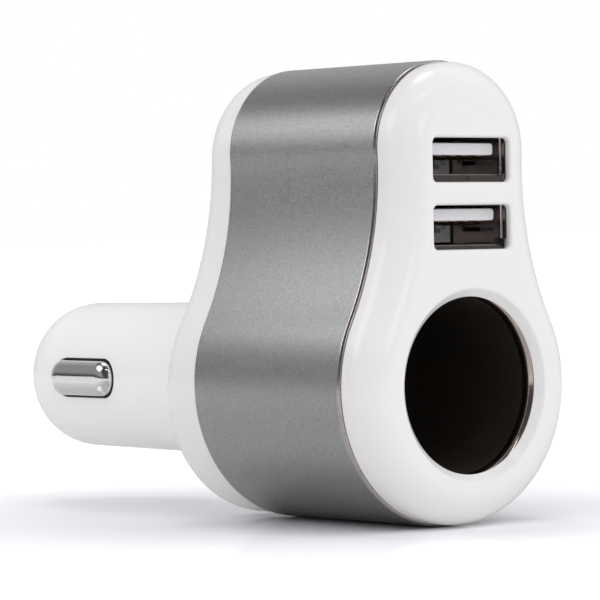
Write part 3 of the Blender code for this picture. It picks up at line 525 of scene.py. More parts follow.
def skin_group():
    """Moulded plastic: a slow drift of tone and gloss, and the faint ripple that a polished mould leaves."""
    inputs = {
        "Base": (0.8, 0.8, 0.8, 1.0), "Drift": 0.02, "Gloss": 0.2, "Gloss Drift": 0.06, "Ripple Size": 0.0012,
    }
    tree, given, result = surface_group("Moulded skin", inputs)
    place = place_on_piece(tree)
    slow, smears = noise(tree, place, 70.0, 2.0), noise(tree, place, 260.0, 4.0)
    ripple = noise(tree, place, maths(tree, "DIVIDE", 1.0, given["Ripple Size"]), 1.0)
    drift = about(tree, slow, 0.5, given["Drift"])
    gloss = about(tree, smears, 0.5, given["Gloss Drift"])
    return surface(tree, given, result, drift, gloss, ripple)


def grain_group():
    """Bead-blasted metal: tiny facets that differ in brightness and gloss, over a slightly uneven tone."""
    inputs = {
        "Base": (0.4, 0.4, 0.4, 1.0), "Facet Size": 0.00016,
        "Contrast": 0.3, "Gloss": 0.35, "Gloss Spread": 0.15,
    }
    tree, given, result = surface_group("Blasted grain", inputs)
    place = place_on_piece(tree)
    scale = maths(tree, "DIVIDE", 1.0, given["Facet Size"])
    facets = add_node(tree, "TexVoronoi", {"Vector": place, "Scale": scale}, feature="F1")
    pick = add_node(tree, "SeparateColor", {"Color": facets.outputs["Color"]})
    fine = noise(tree, place, scale, 2.0)
    mixed = times(tree, maths(tree, "ADD", pick.outputs[0], fine), 0.5)
    tone = about(tree, mixed, 0.5, given["Contrast"])
    gloss = about(tree, pick.outputs[1], 0.5, given["Gloss Spread"])
    return surface(tree, given, result, tone, gloss, mixed)


def drawn_group():
    """Drawn or rolled metal: fine streaks along one direction and a few duller patches."""
    inputs = {
        "Base": (0.5, 0.5, 0.5, 1.0), "Stretch": (1.0, 0.05, 1.0), "Streak Size": 0.0002,
        "Contrast": 0.2, "Gloss": 0.3, "Gloss Spread": 0.1,
    }
    tree, given, result = surface_group("Drawn metal", inputs)
    place = place_on_piece(tree)
    drawn = add_node(tree, "VectorMath", {0: place, 1: given["Stretch"]}, operation="MULTIPLY")
    scale = maths(tree, "DIVIDE", 1.0, given["Streak Size"])
    streaks, patches = noise(tree, drawn.outputs[0], scale, 3.0), noise(tree, place, 350.0, 3.0)
    tone = about(tree, streaks, 0.5, given["Contrast"])
    gloss = about(tree, maths(tree, "ADD", streaks, patches), 1.0, given["Gloss Spread"])
    return surface(tree, given, result, tone, gloss, streaks)


SKIN, GRAIN, DRAWN = skin_group(), grain_group(), drawn_group()


def finish(name, group, given, bump, **shader_values):
    """A material with colour, roughness and relief from a group, and the rest from the shader's sockets."""
    material = bpy.data.materials.new(name)
    material.use_nodes = True
    tree = material.node_tree
    shader = tree.nodes["Principled BSDF"]
    skin = add_node(tree, "Group", given, node_tree=group).outputs
    tree.links.new(skin["Colour"], shader.inputs["Base Color"])
    tree.links.new(skin["Roughness"], shader.inputs["Roughness"])
    strength, distance = bump
    relief = add_node(
        tree, "Bump", {"Height": skin["Height"], "Strength": strength, "Distance": distance}
    )
    tree.links.new(relief.outputs[0], shader.inputs["Normal"])
    for key, value in shader_values.items():
        shader.inputs[key.replace("_", " ")].default_value = value
    return material


def plastic(name, colour, gloss, **more):
    return finish(name, SKIN, {"Base": (*colour, 1.0), "Gloss": gloss}, (0.04, 0.0001), IOR=1.47, **more)


def place_xyz(tree):
    return add_node(tree, "SeparateXYZ", {"Vector": place_on_piece(tree)}).outputs


def retone(material, tone):
    """Let a finish take its base colour from a node, and give the finish's group."""
    tree = material.node_tree
    group = next(node for node in tree.nodes if node.type == "GROUP")
    tree.links.new(tone, group.inputs["Base"])
    return group


def plug_white():
    """The housing's plastic, painted lighter and a touch warmer from the plug's root on, standing in for the
    light that falls on the plug.
    """
    material = plastic("plug_white", WHITE, WHITE_GLOSS)
    tree = material.node_tree
    # Painted light: the plug takes the lighter tone from its root on
    plug = map_range(tree, place_xyz(tree)["Y"], *PLUG_LIT_TONE_Y)
    retone(material, mixed_colour(tree, plug, (*WHITE, 1.0), (*PLUG_LIT_TONE, 1.0)))
    return material


def shell_steel():
    """Tinned sheet in a dark, brownish tone, with painted shade on the lip and a painted highlight on the edge
    round the mouth. The walls at the receptacle's two ends are painted lighter than its floor and roof."""
    material = drawn_metal("shell_steel", SHELL_LIT_AND_SHADED_TONES["floor"][2], 0.24)
    tree = material.node_tree
    across, along, _ = place_xyz(tree)
    start, end = SHELL_LIP_Y - 0.0001, SHELL_FRONT_Y + 0.0010
    depth = map_range(tree, along, start, end)
    lit_and_shaded_tones = []
    # Painted light: each set holds the lip's painted shade, the mouth edge's painted highlight and the inside
    # tone
    for lip, edge_highlight, inside in SHELL_LIT_AND_SHADED_TONES.values():
        ramp = add_node(tree, "ValToRGB", {"Fac": depth})
        stops = {-0.00005: lip, -0.00002: edge_highlight, 0.00004: edge_highlight, 0.00008: lip, 0.00060: inside}
        while len(ramp.color_ramp.elements) < len(stops):
            ramp.color_ramp.elements.new(0.5)
        for element, (y, colour) in zip(ramp.color_ramp.elements, stops.items()):
            element.position, element.color = (SHELL_FRONT_Y + y - start) / (end - start), (*colour, 1.0)
        lit_and_shaded_tones.append(ramp.outputs["Color"])
    # Painted light: the end walls take the lighter set of tones
    ends = map_range(tree, maths(tree, "ABSOLUTE", across), 0.0058, 0.0061)
    retone(material, mixed_colour(tree, ends, *lit_and_shaded_tones))
    return material


def drawn_metal(name, colour, gloss, **more):
    given = {"Base": (*colour, 1.0), "Gloss": gloss, **more}
    return finish(name, DRAWN, given, (0.08, 0.00002), Metallic=1.0)


def sleeve_metal():
    """Bead-blasted sheet whose two cut ends are turned bright."""
    given = {"Base": BLASTED, "Contrast": 0.5, "Gloss": 0.36, "Gloss Spread": 0.16}
    material = finish("satin_metal", GRAIN, given, (0.25, 0.00003), Metallic=1.0)
    tree = material.node_tree
    middle, edge_start = (FRONT_SEAM_Y + REAR_SEAM_Y) / 2, (REAR_SEAM_Y - FRONT_SEAM_Y) / 2 - SLEEVE_EDGE
    from_middle = maths(tree, "ABSOLUTE", maths(tree, "SUBTRACT", place_xyz(tree)["Y"], middle))
    ends = map_range(tree, from_middle, edge_start, edge_start + TURNED_BLEND)
    group = retone(material, mixed_colour(tree, ends, BLASTED, TURNED))
    gloss = mix(tree, ends, group.outputs["Roughness"], TURNED_GLOSS)[0]
    tree.links.new(gloss, tree.nodes["Principled BSDF"].inputs["Roughness"])
    return material


METALS = {
    "socket_metal": ((0.22, 0.19, 0.16), 0.50),
    "rim_metal": ((0.66, 0.56, 0.53), 0.14),
    "tinned_steel": ((0.55, 0.53, 0.50), 0.24),
    "spring_steel": ((0.60, 0.60, 0.60), 0.25),
    "brass": ((0.78, 0.58, 0.28), 0.28),
    # Painted shade: a darker copy of brass for the pins, which lie in shade inside the ports
    "pin_gilt": ((0.24, 0.16, 0.10), 0.30),
    "copper": ((0.72, 0.30, 0.16), 0.28),
    "can_metal": ((0.70, 0.70, 0.72), 0.28),
}
PLASTICS = {
    "gloss_white": (WHITE, WHITE_GLOSS),
    "black_plastic": ((0.02, 0.02, 0.02), 0.42),
    "white_nylon": ((0.85, 0.85, 0.88), 0.38),
    "board_green": ((0.02, 0.16, 0.07), 0.30),
    "ferrite": ((0.07, 0.07, 0.08), 0.70),
    "red_lead": ((0.60, 0.03, 0.03), 0.42),
    "black_lead": ((0.03, 0.03, 0.03), 0.42),
    "yellow_lead": ((0.70, 0.50, 0.04), 0.42),
}
FINISHES = {
    "plug_white": plug_white(),
    "satin_metal": sleeve_metal(),
    "shell_steel": shell_steel(),
    "chrome": drawn_metal("chrome", (0.88, 0.88, 0.885), 0.05, Contrast=0.03),
    "fuse_glass": plastic("fuse_glass", (0.85, 0.90, 0.88), 0.05, Transmission_Weight=1.0),
}
FINISHES.update({name: drawn_metal(name, *look) for name, look in METALS.items()})
FINISHES.update({name: plastic(name, *look) for name, look in PLASTICS.items()})


def dress(body, slot, material, *nodes, rides_on="housing", angle=32):
    """Give a piece its shading, finish and CAD body, and let it stand for its CAD nodes. Its slot is not used.
    """
    shade(body, angle)
    body.data.materials.clear()
    body.data.materials.append(FINISHES[material])
    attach(body, rides_on)
    if nodes:
        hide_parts(*nodes)


# Housing


def pear_ring(inset, y, slope=0.0):
    return [(x, y - slope * z, z) for x, z in pear(inset)]


def quarter(steps):
    """Cosine and sine of angles from a wall round to a face."""
    angles = [math.pi / 2 * i / steps for i in range(steps + 1)]
    return [(math.cos(a), math.sin(a)) for a in angles]


def lipped_cutter(name, outline, lip, surface, inside, outside, axis="Y"):
    """A cutter that leaves a rounded lip where it breaks through a surface. Outline gives its points when
    grown by an amount, surface gives the depth at a point, and inside and outside are the cutter's ends."""
    sign = math.copysign(1, inside - outside)
    rings = [[on_axis(axis, a, b, inside) for a, b in outline(0.0)]]
    for cosine, sine in quarter(5):
        grown, depth = lip * (1 - cosine), sign * lip * (1 - sine)
        rings.append([on_axis(axis, a, b, surface(a, b) + depth) for a, b in outline(grown)])
    rings.append([on_axis(axis, a, b, outside) for a, b in outline(lip)])
    return loft(name, rings)


def corner_rings(inset, face_y, rounding, steps, slope=0.0):
    """The housing's outline round a corner, up to a face. Rounding has the sign of the way back from it."""
    rings = []
    for cosine, sine in quarter(steps):
        rings.append(pear_ring(inset + abs(rounding) * (1 - cosine), face_y + rounding * (1 - sine), slope))
    return rings


def cover_shell(name, inward, face_y, rounding, plate, seam_y, slope=0.0):
    """A cover's rounded shell, with the spigot that enters the sleeve. Inward is the way to the sleeve."""
    rim_y, spigot_y = seam_y - inward * SEAM_GAP, seam_y + inward * SPIGOT_LENGTH
    rings = corner_rings(COVER_INSET, face_y, inward * rounding, ROUND_STEPS, slope)[::-1]
    rings += corner_rings(COVER_INSET, rim_y, -inward * COVER_EDGE, 3)
    for inset, y in (SPIGOT_INSET, rim_y), (SPIGOT_INSET, spigot_y), (CAVITY_INSET, spigot_y):
        rings.append(pear_ring(inset, y))
    rings += corner_rings(CAVITY_INSET, face_y + inward * plate, inward * CAVITY_ROUNDING, 4, slope)
    return loft(name, rings)


def front_cover():
    plate_y = FACE_Y + PLATE
    cover = cover_shell("front_cover_shell", 1, FACE_Y, FRONT_ROUNDING, PLATE, FRONT_SEAM_Y)
    collar = tube_profile(COLLAR_R, MOUTH_R - OVERRUN, COLLAR_END_Y, plate_y - SINK, COLLAR_EDGE_R)
    tools = [turned("collar", soften(collar, 3))]
    for side, (x, z) in POSTS.items():
        tools.append(shift(post_body(f"post_{side}"), x, 0, z))
    join(cover, *tools)
    land_y, reach = FACE_Y + MOUTH_CHAMFER, MOUTH_R + MOUTH_CHAMFER
    mouth = [
        (0, COLLAR_END_Y + OVERRUN), (COLLAR_BORE_R, COLLAR_END_Y + OVERRUN),
        (COLLAR_BORE_R, land_y + MOUTH_LAND), (MOUTH_R, land_y + MOUTH_LAND), (MOUTH_R, land_y),
        (reach, FACE_Y, MOUTH_EDGE_R), (reach + OVERRUN, FACE_Y),
        (reach + OVERRUN, FACE_Y - OVERRUN), (0, FACE_Y - OVERRUN),
    ]
    cutters = [turned("mouth", soften(mouth), MOUTH_STEPS)]
    half_x, half_z = SHELL_LIP[0] / 2 + GAP, SHELL_LIP[1] / 2 + GAP
    low = (-half_x, FACE_Y + WINDOW_PLATE, PORT_Z["lower"] + SHELL_RISE - half_z)
    high = (half_x, FACE_Y + PLATE + OVERRUN, PORT_Z["upper"] + SHELL_RISE + half_z)
    cutters.append(block("pocket", low, high))
    for level, z in PORT_Z.items():
        ends = FACE_Y + PLATE, FACE_Y - OVERRUN
        window = lipped_cutter(f"window_{level}", window_outline, WINDOW_LIP, lambda a, b: FACE_Y, *ends)
        cutters.append(shift(window, z=z))
    cut(cover, *cutters)
    dress(cover, "white_plastic", "gloss_white", "front_cover")


def window_outline(grown):
    return rounded_rectangle(WINDOW[0] + 2 * grown, WINDOW[1] + 2 * grown, WINDOW_CORNER_R + grown)


def post_body(name):
    """A board post with its pilot hole, standing on the face plate."""
    base, top = FACE_Y + PLATE - SINK, SHELL_END_Y
    corners = [
        (0, base), (POST_R, base), (POST_R, top, 0.00015),
        (PILOT_R, top, 0.00010), (PILOT_R, top - PILOT_DEPTH), (0, top - PILOT_DEPTH),
    ]
    return turned(name, soften(corners, 3), 40)


def metal_sleeve():
    """The band is swept flat, with the outline in the XY plane, then stood up round the housing's depth."""
    curve = bpy.data.curves.new("sleeve_outline", "CURVE")
    curve.dimensions = "3D"
    outline = pear(SLEEVE_WALL / 2)
    spline = curve.splines.new("POLY")
    spline.points.add(len(outline) - 1)
    for point, (x, z) in zip(spline.points, outline):
        point.co = (x, z, 0.0, 1.0)
    spline.use_cyclic_u = True
    band = {"wall": SLEEVE_WALL, "depth": REAR_SEAM_Y - FRONT_SEAM_Y, "edge": SLEEVE_EDGE}
    path = new_object("sleeve_band", curve)
    sleeve = run_tree(path, band_tree(), finish=FINISHES["satin_metal"], **band)
    middle = Matrix.Translation((0, (FRONT_SEAM_Y + REAR_SEAM_Y) / 2, 0))
    sleeve.data.transform(middle @ Matrix.Rotation(math.pi / 2, 4, "X"))
    dress(sleeve, "satin_metal", "satin_metal", "metal_sleeve")


def rear_cover():
    cover = cover_shell("rear_cover_shell", -1, 0.0, BACK_ROUNDING, BACK_PLATE, REAR_SEAM_Y, BACK_SLOPE)
    foot = BARREL_ROOT_R + ROOT_FILLET
    fillet = [(0, ROOT_FILLET)]
    for cosine, sine in quarter(10):
        fillet.append((foot - ROOT_FILLET * cosine, ROOT_FILLET * (1 - sine)))
    fillet += [(foot, -OVERRUN), (0, -OVERRUN)]
    barrel = [(0, SINK - BACK_PLATE), (BARREL_ROOT_R, SINK - BACK_PLATE)]
    for cosine, sine in quarter(NOSE_STEPS):
        radius = NOSE_FLAT_R + (BARREL_END_R - NOSE_FLAT_R) * cosine
        barrel.append((radius, BARREL_END_Y + (NOSE_Y - BARREL_END_Y) * sine))
    barrel.append((0, NOSE_Y))
    rest = tube_profile(WELL_REST_R, WELL_REST_BORE_R, OVERRUN - BACK_PLATE, WELL_END_Y + GAP)
    tools = [
        turned("fillet", fillet, tilt=math.atan(BACK_SLOPE)),
        cut(turned("barrel", barrel), contact_slot(-1), contact_slot(1)),
        cut(turned("rest", rest), block("notch", *LEAD_NOTCH)),
    ]
    for side, x in {"left": -RAIL_X, "right": RAIL_X}.items():
        low, high = (x - RAIL_HALF, RAIL_Y[0], RAIL_Z[0]), (x + RAIL_HALF, RAIL_Y[1], RAIL_Z[1])
        tools.append(block(f"rail_{side}", low, high))
    join(cover, *tools)
    start = -BACK_PLATE - 2 * OVERRUN
    chamfer_r = NOSE_HOLE_R + NOSE_CHAMFER
    bore = [
        (0, NOSE_Y + OVERRUN), (chamfer_r, NOSE_Y + OVERRUN), (chamfer_r, NOSE_Y, 0.0001),
        (NOSE_HOLE_R, NOSE_Y - NOSE_CHAMFER, 0.0001), (NOSE_HOLE_R, NOSE_INNER_Y),
        (BORE_NOSE_R, NOSE_INNER_Y), (BORE_R, BORE_STRAIGHT_Y), (BORE_R, start), (0, start),
    ]
    slot_low = (-BOARD_SLOT_X, RAIL_Y[0] - OVERRUN, MAIN_BOARD_Z - GAP)
    slot = block("board_slot", slot_low, (BOARD_SLOT_X, BOARD_SLOT_END_Y, MAIN_BOARD_Z + BOARD + GAP))
    cut(cover, slot, turned("bore", soften(bore, 3)))
    # This finish carries the plug's painted lighter tone
    dress(cover, "white_plastic", "plug_white", "rear_cover")


def slot_outline(grown):
    return stadium(SLOT[0], SLOT[1], -grown)


def barrel_side(y, z):
    """How far out the barrel's surface lies beside a contact, from its middle's place along the barrel."""
    taper = (y + CONTACT_Y) / BARREL_END_Y
    radius = BARREL_ROOT_R + (BARREL_END_R - BARREL_ROOT_R) * taper
    return math.sqrt(radius**2 - z**2)


def contact_slot(sign):
    def side(y, z):
        return sign * barrel_side(y, z)

    ends = [sign * x for x in SLOT_CUT_X]
    return shift(lipped_cutter(f"slot_{sign}", slot_outline, SLOT_LIP, side, *ends, "X"), y=CONTACT_Y)


def slot_shade_collar(side, sign):
    """A black collar that lines the slot round a side contact: painted shade, a dark sheet put in the gap
    where there is only shade.
    """
    outer, inner = stadium(*SLOT, COLLAR_PLAY), stadium(*CONTACT, -COLLAR_PLAY)
    rings = []
    for outline, sunk in ((outer, None), (outer, COLLAR_SUNK), (inner, COLLAR_SUNK), (inner, None)):
        ring = []
        for y, z in outline:
            x = COLLAR_FOOT_X if sunk is None else barrel_side(y, z) - sunk
            ring.append((sign * x, y, z))
        rings.append(ring)
    collar = shift(loft(f"slot_collar_{side}", rings, hollow=True), y=CONTACT_Y)
    dress(collar, "black_plastic", "black_plastic")


# Socket


def socket():
    lip = RIM_LIP_R
    centre = (MOUTH_R + lip - RIM_PROUD, RIM_FRONT_Y + lip)
    tuck = math.asin((RIM_BACK_Y - centre[1]) / lip)
    roll = arc(*centre, lip, -math.pi / 2, -math.pi - tuck, 24)
    roll.append((centre[0] - lip * math.cos(tuck), RIM_BACK_Y))
    rim = turned("socket_rim_rolled", [(RIM_R, RIM_BACK_Y), (RIM_R, RIM_FRONT_Y)] + roll, MOUTH_STEPS)
    dress(rim, "chrome", "rim_metal", "socket_rim")
    floor_y = WELL_END_Y - WELL_FLOOR
    bore = RIVET_SHANK_R + GAP
    well = [
        (WELL_R, WELL_END_Y, 0.0004), (WELL_R, WELL_FRONT_Y, 0.0002), (WELL_BORE_R, WELL_FRONT_Y),
        (WELL_BORE_R, floor_y, 0.0003), (bore, floor_y), (bore, WELL_END_Y),
    ]
    cup = turned("socket_well_cup", soften(well, 4))
    half_x, half_y = LINER_TAB_HALF
    low = (-half_x - GAP, LINER_TAB_Y - half_y - GAP, TAB_SLOT_Z[0])
    tab_slot = block("tab_slot", low, (half_x + GAP, LINER_TAB_Y + half_y + GAP, TAB_SLOT_Z[1]))
    dress(cut(cup, tab_slot), "black_plastic", "black_plastic", "socket_well")
    start, end = WELL_FRONT_Y + 0.0001, floor_y - GAP
    tube = turned("socket_liner_tube", tube_profile(LINER_R, LINER_BORE_R, end, start))
    low, tab_top = (-half_x, LINER_TAB_Y - half_y, LINER_R - SINK), MAIN_BOARD_Z + BOARD + LINER_TAB_RISE
    tab = block("tab", low, (half_x, LINER_TAB_Y + half_y, tab_top))
    dress(join(tube, tab), "socket_metal", "socket_metal", "socket_liner")
    rivet = [
        (0, WELL_END_Y + RIVET_HEAD), (RIVET_SHANK_R, WELL_END_Y + RIVET_HEAD), (RIVET_SHANK_R, end),
        (RIVET_R, end), (RIVET_R, end - RIVET_HEAD, 0.0002),
        (0.0024, end - 0.0012, 0.0006), (0.0017, end - 0.0020, 0.0004), (0, end - 0.00215),
    ]
    contact = turned("socket_centre_button", soften(rivet), 96)
    dress(contact, "brass", "brass", "socket_centre_contact")


# Plug contacts


def side_contact(side, sign):
    """Crowned like half a capsule, on a flange that keeps it in the barrel."""
    half = CONTACT[1] / 2
    wall_x = CONTACT_TOP_X - CONTACT_CROWN
    rings = [[(sign * CONTACT_FLANGE_X[1] - sign * SINK, y, z) for y, z in stadium(*CONTACT)]]
    for i in range(CROWN_STEPS):
        angle = math.pi / 2 * i / CROWN_STEPS
        rise, spread = math.sin(angle) ** (2 / CROWN_FULLNESS), math.cos(angle) ** (2 / CROWN_FULLNESS)
        x = wall_x + CONTACT_CROWN * rise
        rings.append([(sign * x, y, z) for y, z in stadium(*CONTACT, half * (1 - spread))])
    contact = loft(f"side_contact_crown_{side}", rings)
    flange = prism(f"flange_{side}", stadium(*CONTACT_FLANGE), *(sign * x for x in CONTACT_FLANGE_X), "X")
    peg = turned(f"peg_{side}", [(0, 0.0), (PEG_R, 0.0), (PEG_R, PEG_LENGTH), (0, PEG_LENGTH)], 24)
    peg.data.transform(Matrix.Rotation(-sign * math.pi / 2, 4, "Z"))
    shift(peg, x=sign * (CONTACT_FLANGE_X[0] - PEG_REACH))
    join(contact, flange, peg)
    shift(contact, y=CONTACT_Y)
    dress(contact, "chrome", "chrome", f"side_contact_{side}", rides_on=f"{side}_contact", angle=50)


def wound_spring(node, tree, start, along, radius, wire, length, turns, joint, keep):
    """A compression spring that starts at a point and runs along a direction. Its joint is not used."""
    bm = bmesh.new()
    bm.verts.new((0, 0, 0))
    wound = {"turns": turns, "radius": radius, "wire": wire, "length": length}
    spring = run_tree(new_body(f"{node}_wound", bm), tree, finish=FINISHES["spring_steel"], **wound)
    lean = Vector((0, 0, 1)).rotation_difference(Vector(along)).to_matrix().to_4x4()
    spring.data.transform(Matrix.Translation(start) @ lean)
    dress(spring, "spring_steel", "spring_steel", node)
    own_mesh(spring)


def springs():
    tree = coil_tree()
    for node, values in SPRINGS.items():
        wound_spring(node, tree, *values)


def tip_contact():
    back, flange = TIP_FLANGE_Y
    profile = [
        (0, back), (TIP_FLANGE_R, back, 0.0001), (TIP_FLANGE_R, flange, 0.0002), (TIP_STEM_R, flange),
        (TIP_STEM_R, TIP_Y - 0.0003, 0.0008), (0.0011, TIP_Y, 0.0010), (0, TIP_Y),
    ]
    tip = turned("tip_contact_dome", soften(profile, 8), 96)
    dress(tip, "chrome", "chrome", "tip_contact", rides_on="tip")


# USB ports


def finger_outline(width, length):
    """The U-shaped slot round a spring finger, which is rooted at the front and free at the back."""
    inner = width / 2
    outer = inner + FINGER_SLOT
    left = [(-inner, 0.0), (-inner, length - FINGER_SLOT), (inner, length - FINGER_SLOT), (inner, 0.0)]
    return left + [(outer, 0.0), (outer, length), (-outer, length), (-outer, 0.0)]


def usb_shell(level, z):
    """Folded sheet with a lip round its mouth, spring fingers in its walls, and its seam along the floor."""
    width, height = SHELL[0] - 2 * SHELL_WALL, SHELL[1] - 2 * SHELL_WALL
    flare = (SHELL_LIP[1] - SHELL[1]) / 2 + SHELL_WALL
    rings = []

    def ring(grown, y, sill=0.0):
        outline = rounded_rectangle(width + 2 * grown, height + 2 * grown, SHELL_CORNER_R + grown)
        rings.append([(a, y, b + (sill if b < 0 else 0.0)) for a, b in outline])

    sill, step = SHELL_SILL[level], SHELL_SHOULDER + SHELL_BEVEL
    ring(0.0, SHELL_END_Y)
    ring(0.0, SHELL_FRONT_Y + SILL_LENGTH)
    for cosine, sine in quarter(4):
        ring(SHELL_EDGE * (1 - cosine), SHELL_FRONT_Y + SHELL_EDGE * (1 - sine), sill)
    ring(SHELL_SHOULDER, SHELL_FRONT_Y, sill)
    ring(step, SHELL_LIP_Y + SHELL_BEVEL, sill)
    ring(step + SHELL_BEVEL, SHELL_LIP_Y, sill)
    ring(flare, SHELL_LIP_Y)
    ring(flare, SHELL_LIP_Y + SHELL_WALL)
    ring(SHELL_WALL, SHELL_LIP_Y + SHELL_WALL)
    ring(SHELL_WALL, SHELL_END_Y)
    shell = loft(f"usb_shell_{level}_folded", rings, hollow=True)
    cutters = []
    for side, x in {"left": -FINGER_X, "right": FINGER_X}.items():
        finger = prism(f"finger_{side}", finger_outline(*FLOOR_FINGER), -0.0040, 0.0040, "Z")
        cutters.append(shift(finger, x=x, y=SHELL_FRONT_Y + FLOOR_FINGER_BACK))
    side_finger = [(y, x) for x, y in reversed(finger_outline(*SIDE_FINGER))]
    sides = prism("finger_sides", side_finger, -0.0080, 0.0080, "X")
    cutters.append(shift(sides, y=SHELL_FRONT_Y + SIDE_FINGER_BACK, z=SIDE_FINGER_Z))
    if level in CORNER_NOTCH:
        (left, bottom), (right, top) = CORNER_NOTCH[level]
        corner = (left, SHELL_LIP_Y - OVERRUN, bottom), (right, SHELL_FRONT_Y + SILL_LENGTH, top)
        cutters.append(block("corner_notch", *corner))
    low, high = (-SEAM_HALF, SHELL_FRONT_Y - OVERRUN, -0.0040), (SEAM_HALF, SHELL_END_Y + OVERRUN, -0.0020)
    cutters.append(block("seam", low, high))
    cut(shell, *cutters)
    shift(shell, z=z + SHELL_RISE)
    dress(shell, "tinned_steel", "shell_steel", f"usb_shell_{level}")


def usb_tongue(level, z):
    """White insulator: a block that fills the shell's back, and the tongue with the pins in its underside."""
    half_x, half_z = SHELL[0] / 2 - SHELL_WALL - GAP, SHELL[1] / 2 - SHELL_WALL - GAP
    block_y = SHELL_END_Y - PORT_BLOCK
    top = TONGUE_TOP + TONGUE_RISE[level]
    under = top - TONGUE[1]
    low = (-half_x, block_y, SHELL_RISE - half_z)
    insulator = block(f"usb_tongue_{level}_moulding", low, (half_x, SHELL_END_Y, SHELL_RISE + half_z))
    outline = rounded_rectangle(*TONGUE, TONGUE_CORNER_R)
    tongue = shift(prism("tongue", outline, TONGUE_FRONT_Y, block_y + OVERRUN), z=top - TONGUE[1] / 2)
    join(insulator, soft_edges(tongue, TONGUE_EDGE, 3))
    low = (-half_x + 0.0007, block_y - OVERRUN, under - 0.0010)
    openings = [block("step", low, (half_x - 0.0007, block_y + 0.0008, under - 0.0001))]
    for x in PIN_X:
        left, right = x - PIN_HALF - PIN_PLAY, x + PIN_HALF + PIN_PLAY
        low = (left, TONGUE_FRONT_Y + 0.0003, under - 0.0004)
        openings.append(block(f"channel_{x}", low, (right, SHELL_END_Y + OVERRUN, under + 0.0002)))
        low, high = (left, block_y - OVERRUN, under - 0.0015), (right, block_y + 0.0025, under)
        openings.append(block(f"opening_{x}", low, high))
    cut(insulator, *openings)
    shift(insulator, z=z)
    dress(insulator, "white_nylon", "white_nylon", f"usb_tongue_{level}")


def usb_pins(level, z):
    """Four spring contacts that bow out of the tongue's underside and tuck their tips back into it."""
    under = TONGUE_TOP + TONGUE_RISE[level] - TONGUE[1]
    top = [(y, under + h) for y, h in PIN_BOW]
    bottom = [(y, under + h - PIN_SHEET) for y, h in reversed(PIN_BOW)]
    for i, x in enumerate(PIN_X, 1):
        pin = prism(f"usb_pin_{level}_{i}_bowed", top + bottom, -PIN_HALF, PIN_HALF, "X")
        shift(pin, x=x, z=z)
        # The pins wear the darker copy of brass, painted shade
        dress(pin, "brass", "pin_gilt", f"usb_pin_{level}_{i}")


# What stays as the CAD made it


def carried_over():
    """CAD nodes that keep their shape get their finish."""
    kept = {
        "brass": ["spring_seat"],
        "board_green": ["usb_board", "main_board"],
        "tinned_steel": [f"board_screw_{side}" for side in POSTS] + ["fuse_cap_rear", "fuse_cap_front"],
        "black_plastic": ["board_header", "regulator_chip", "diode", "contact_carrier"],
        "ferrite": ["inductor_core"],
        "copper": ["inductor_winding", "fuse_element"],
        "can_metal": ["input_capacitor", "output_capacitor"],
        "spring_steel": ["ground_sleeve"],
        "fuse_glass": ["fuse_glass"],
        "red_lead": ["positive_lead"],
        "black_lead": ["ground_lead"],
        "yellow_lead": ["socket_lead"],
    }
    for material, names in kept.items():
        for name in names:
            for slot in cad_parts[name].material_slots:
                slot.material = FINISHES[material]


# Studio


def facing(name, data, at, towards, roll=0.0):
    """An object at a place that looks along a direction."""
    placed = new_object(name, data)
    placed.location = at
    placed.rotation_mode = "QUATERNION"
    placed.rotation_quaternion = towards.to_track_quat("-Z", "Y") @ Quaternion((0, 0, 1), roll)
    return placed


def camera():
    """The photograph's own view: from the front left, a little above the table, with a long lens."""
    data = bpy.data.cameras.new("camera")
    data.lens = LENS
    data.clip_start, data.clip_end = 0.01, 100.0
    bpy.context.scene.camera = facing("camera", data, EYE, Vector(TARGET) - Vector(EYE), ROLL)


def softbox(name, azimuth, elevation, size, radiance, distance=0.8, aim=(0, -0.01, 0.01)):
    """An oval lamp that faces the housing. Azimuth runs from the front (0) to the right (90) in degrees.
    Its power follows from how bright its face looks."""
    turn, rise = math.radians(azimuth), math.radians(elevation)
    away = Vector((math.sin(turn) * math.cos(rise), -math.cos(turn) * math.cos(rise), math.sin(rise)))
    data = bpy.data.lights.new(name, "AREA")
    data.shape = "ELLIPSE"
    data.size, data.size_y = size
    data.energy = radiance * math.pi * size[0] * size[1] * math.pi / 4
    facing(name, data, Vector(aim) + away * distance, -away)


def room_lobe(tree, towards, direction, start, end, strength):
    """A soft bright area on the room's walls round a direction, between two cosines of the angle to it."""
    turned_to = add_node(
        tree, "VectorMath", {0: towards, 1: Vector(direction).normalized()}, operation="DOT_PRODUCT"
    )
    cosine = turned_to.outputs["Value"]
    return map_range(tree, cosine, start, end, high=strength, interpolation_type="SMOOTHSTEP")


def studio():
    for name, box in SOFTBOXES.items():
        softbox(name, *box)
    world = bpy.data.worlds.new("white room")
    world.use_nodes = True
    bpy.context.scene.world = world
    tree = world.node_tree
    background = tree.nodes["Background"]
    background.inputs["Color"].default_value = (1.0, 1.0, 1.0, 1.0)
    towards = add_node(tree, "TexCoord").outputs["Generated"]
    room = ROOM_GLOW
    for lobe in ROOM_LOBES.values():
        room = maths(tree, "ADD", room, room_lobe(tree, towards, *lobe))
    path = add_node(tree, "LightPath").outputs
    heading = add_node(tree, "SeparateXYZ", {"Vector": towards}).outputs
    low = map_range(tree, heading["Z"], *SKIRTING_RISE, 1.0, 0.0)
    left = map_range(tree, heading["X"], *SKIRTING_SIDE)
    unlit = times(tree, times(tree, low, left), SKIRTING_DEPTH)
    for side in UNLIT_SIDES.values():
        unlit = maths(tree, "MAXIMUM", unlit, room_lobe(tree, towards, *side))
    dimmed = maths(tree, "SUBTRACT", 1.0, times(tree, unlit, path["Is Glossy Ray"]))
    seen = maths(tree, "MAXIMUM", path["Is Camera Ray"], path["Is Transmission Ray"])
    glow = mix(tree, seen, times(tree, room, dimmed), 1.0)[0]
    tree.links.new(glow, background.inputs["Strength"])


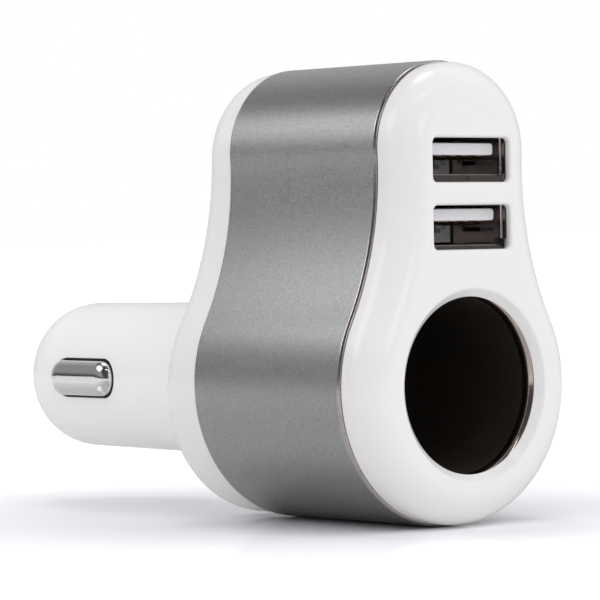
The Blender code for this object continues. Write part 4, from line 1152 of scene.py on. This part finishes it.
def floor():
    """A white, polished table top that the housing's rounded bottom stands on. Near the housing its tone is
    painted darker, a painted shadow seen by the camera and in glossy reflections.
    """
    bm = bmesh.new()
    bmesh.ops.create_grid(bm, x_segments=1, y_segments=1, size=40.0)
    table = new_body("table", bm)
    shift(table, z=-LOWER_R)
    material = bpy.data.materials.new("polished_table")
    material.use_nodes = True
    tree = material.node_tree
    tree.nodes.remove(tree.nodes["Principled BSDF"])
    path = add_node(tree, "LightPath").outputs
    seen = path["Is Camera Ray"]
    place = place_on_piece(tree)
    away = add_node(tree, "VectorMath", {0: place}, operation="LENGTH").outputs["Value"]
    # Painted shadow in reflections: glossy rays see a darker table near the housing
    mirrored_with_painted_shadow = map_range(tree, away, MIRRORED_SHADOW_FROM, MIRRORED_SHADOW_TO, *TABLE_MIRRORED_WITH_PAINTED_SHADOW)
    tone = mix(tree, path["Is Glossy Ray"], TABLE_TONE, mirrored_with_painted_shadow)[0]
    # Painted shadow for the camera: the table is darker and bluer near the housing
    beside = map_range(tree, away, PAINTED_SHADOW_FROM, PAINTED_SHADOW_TO)
    near, far = [(*colour, 1.0) for colour in TABLE_SEEN_WITH_PAINTED_SHADOW]
    seen_with_painted_shadow = mixed_colour(tree, beside, near, far)
    matt = add_node(tree, "BsdfDiffuse", {"Color": mixed_colour(tree, seen, tone, seen_with_painted_shadow)})
    backlight = times(tree, path["Is Diffuse Ray"], TABLE_BACKLIGHT)
    fade = map_range(tree, away, FADE_FROM, FADE_TO, high=TABLE_FADE)
    strength = maths(tree, "ADD", backlight, times(tree, fade, seen))
    glow = add_node(tree, "Emission", {"Strength": strength})
    base = add_node(tree, "AddShader", {0: matt.outputs[0], 1: glow.outputs[0]})
    polish = add_node(tree, "BsdfAnisotropic", {"Color": (1.0, 1.0, 1.0, 1.0), "Roughness": 0.05})
    top = add_node(
        tree, "MixShader", {0: TABLE_POLISH, 1: base.outputs[0], 2: polish.outputs[0]}
    )
    tree.links.new(top.outputs[0], tree.nodes["Material Output"].inputs["Surface"])
    table.data.materials.append(material)


camera()
studio()
floor()
front_cover()
metal_sleeve()
rear_cover()
socket()
for build in side_contact, slot_shade_collar:
    build("left", -1)
    build("right", 1)
tip_contact()
springs()
for port, port_z in PORT_Z.items():
    usb_shell(port, port_z)
    usb_tongue(port, port_z)
    usb_pins(port, port_z)
carried_over()

bpy.context.scene.view_settings.view_transform = "Standard"
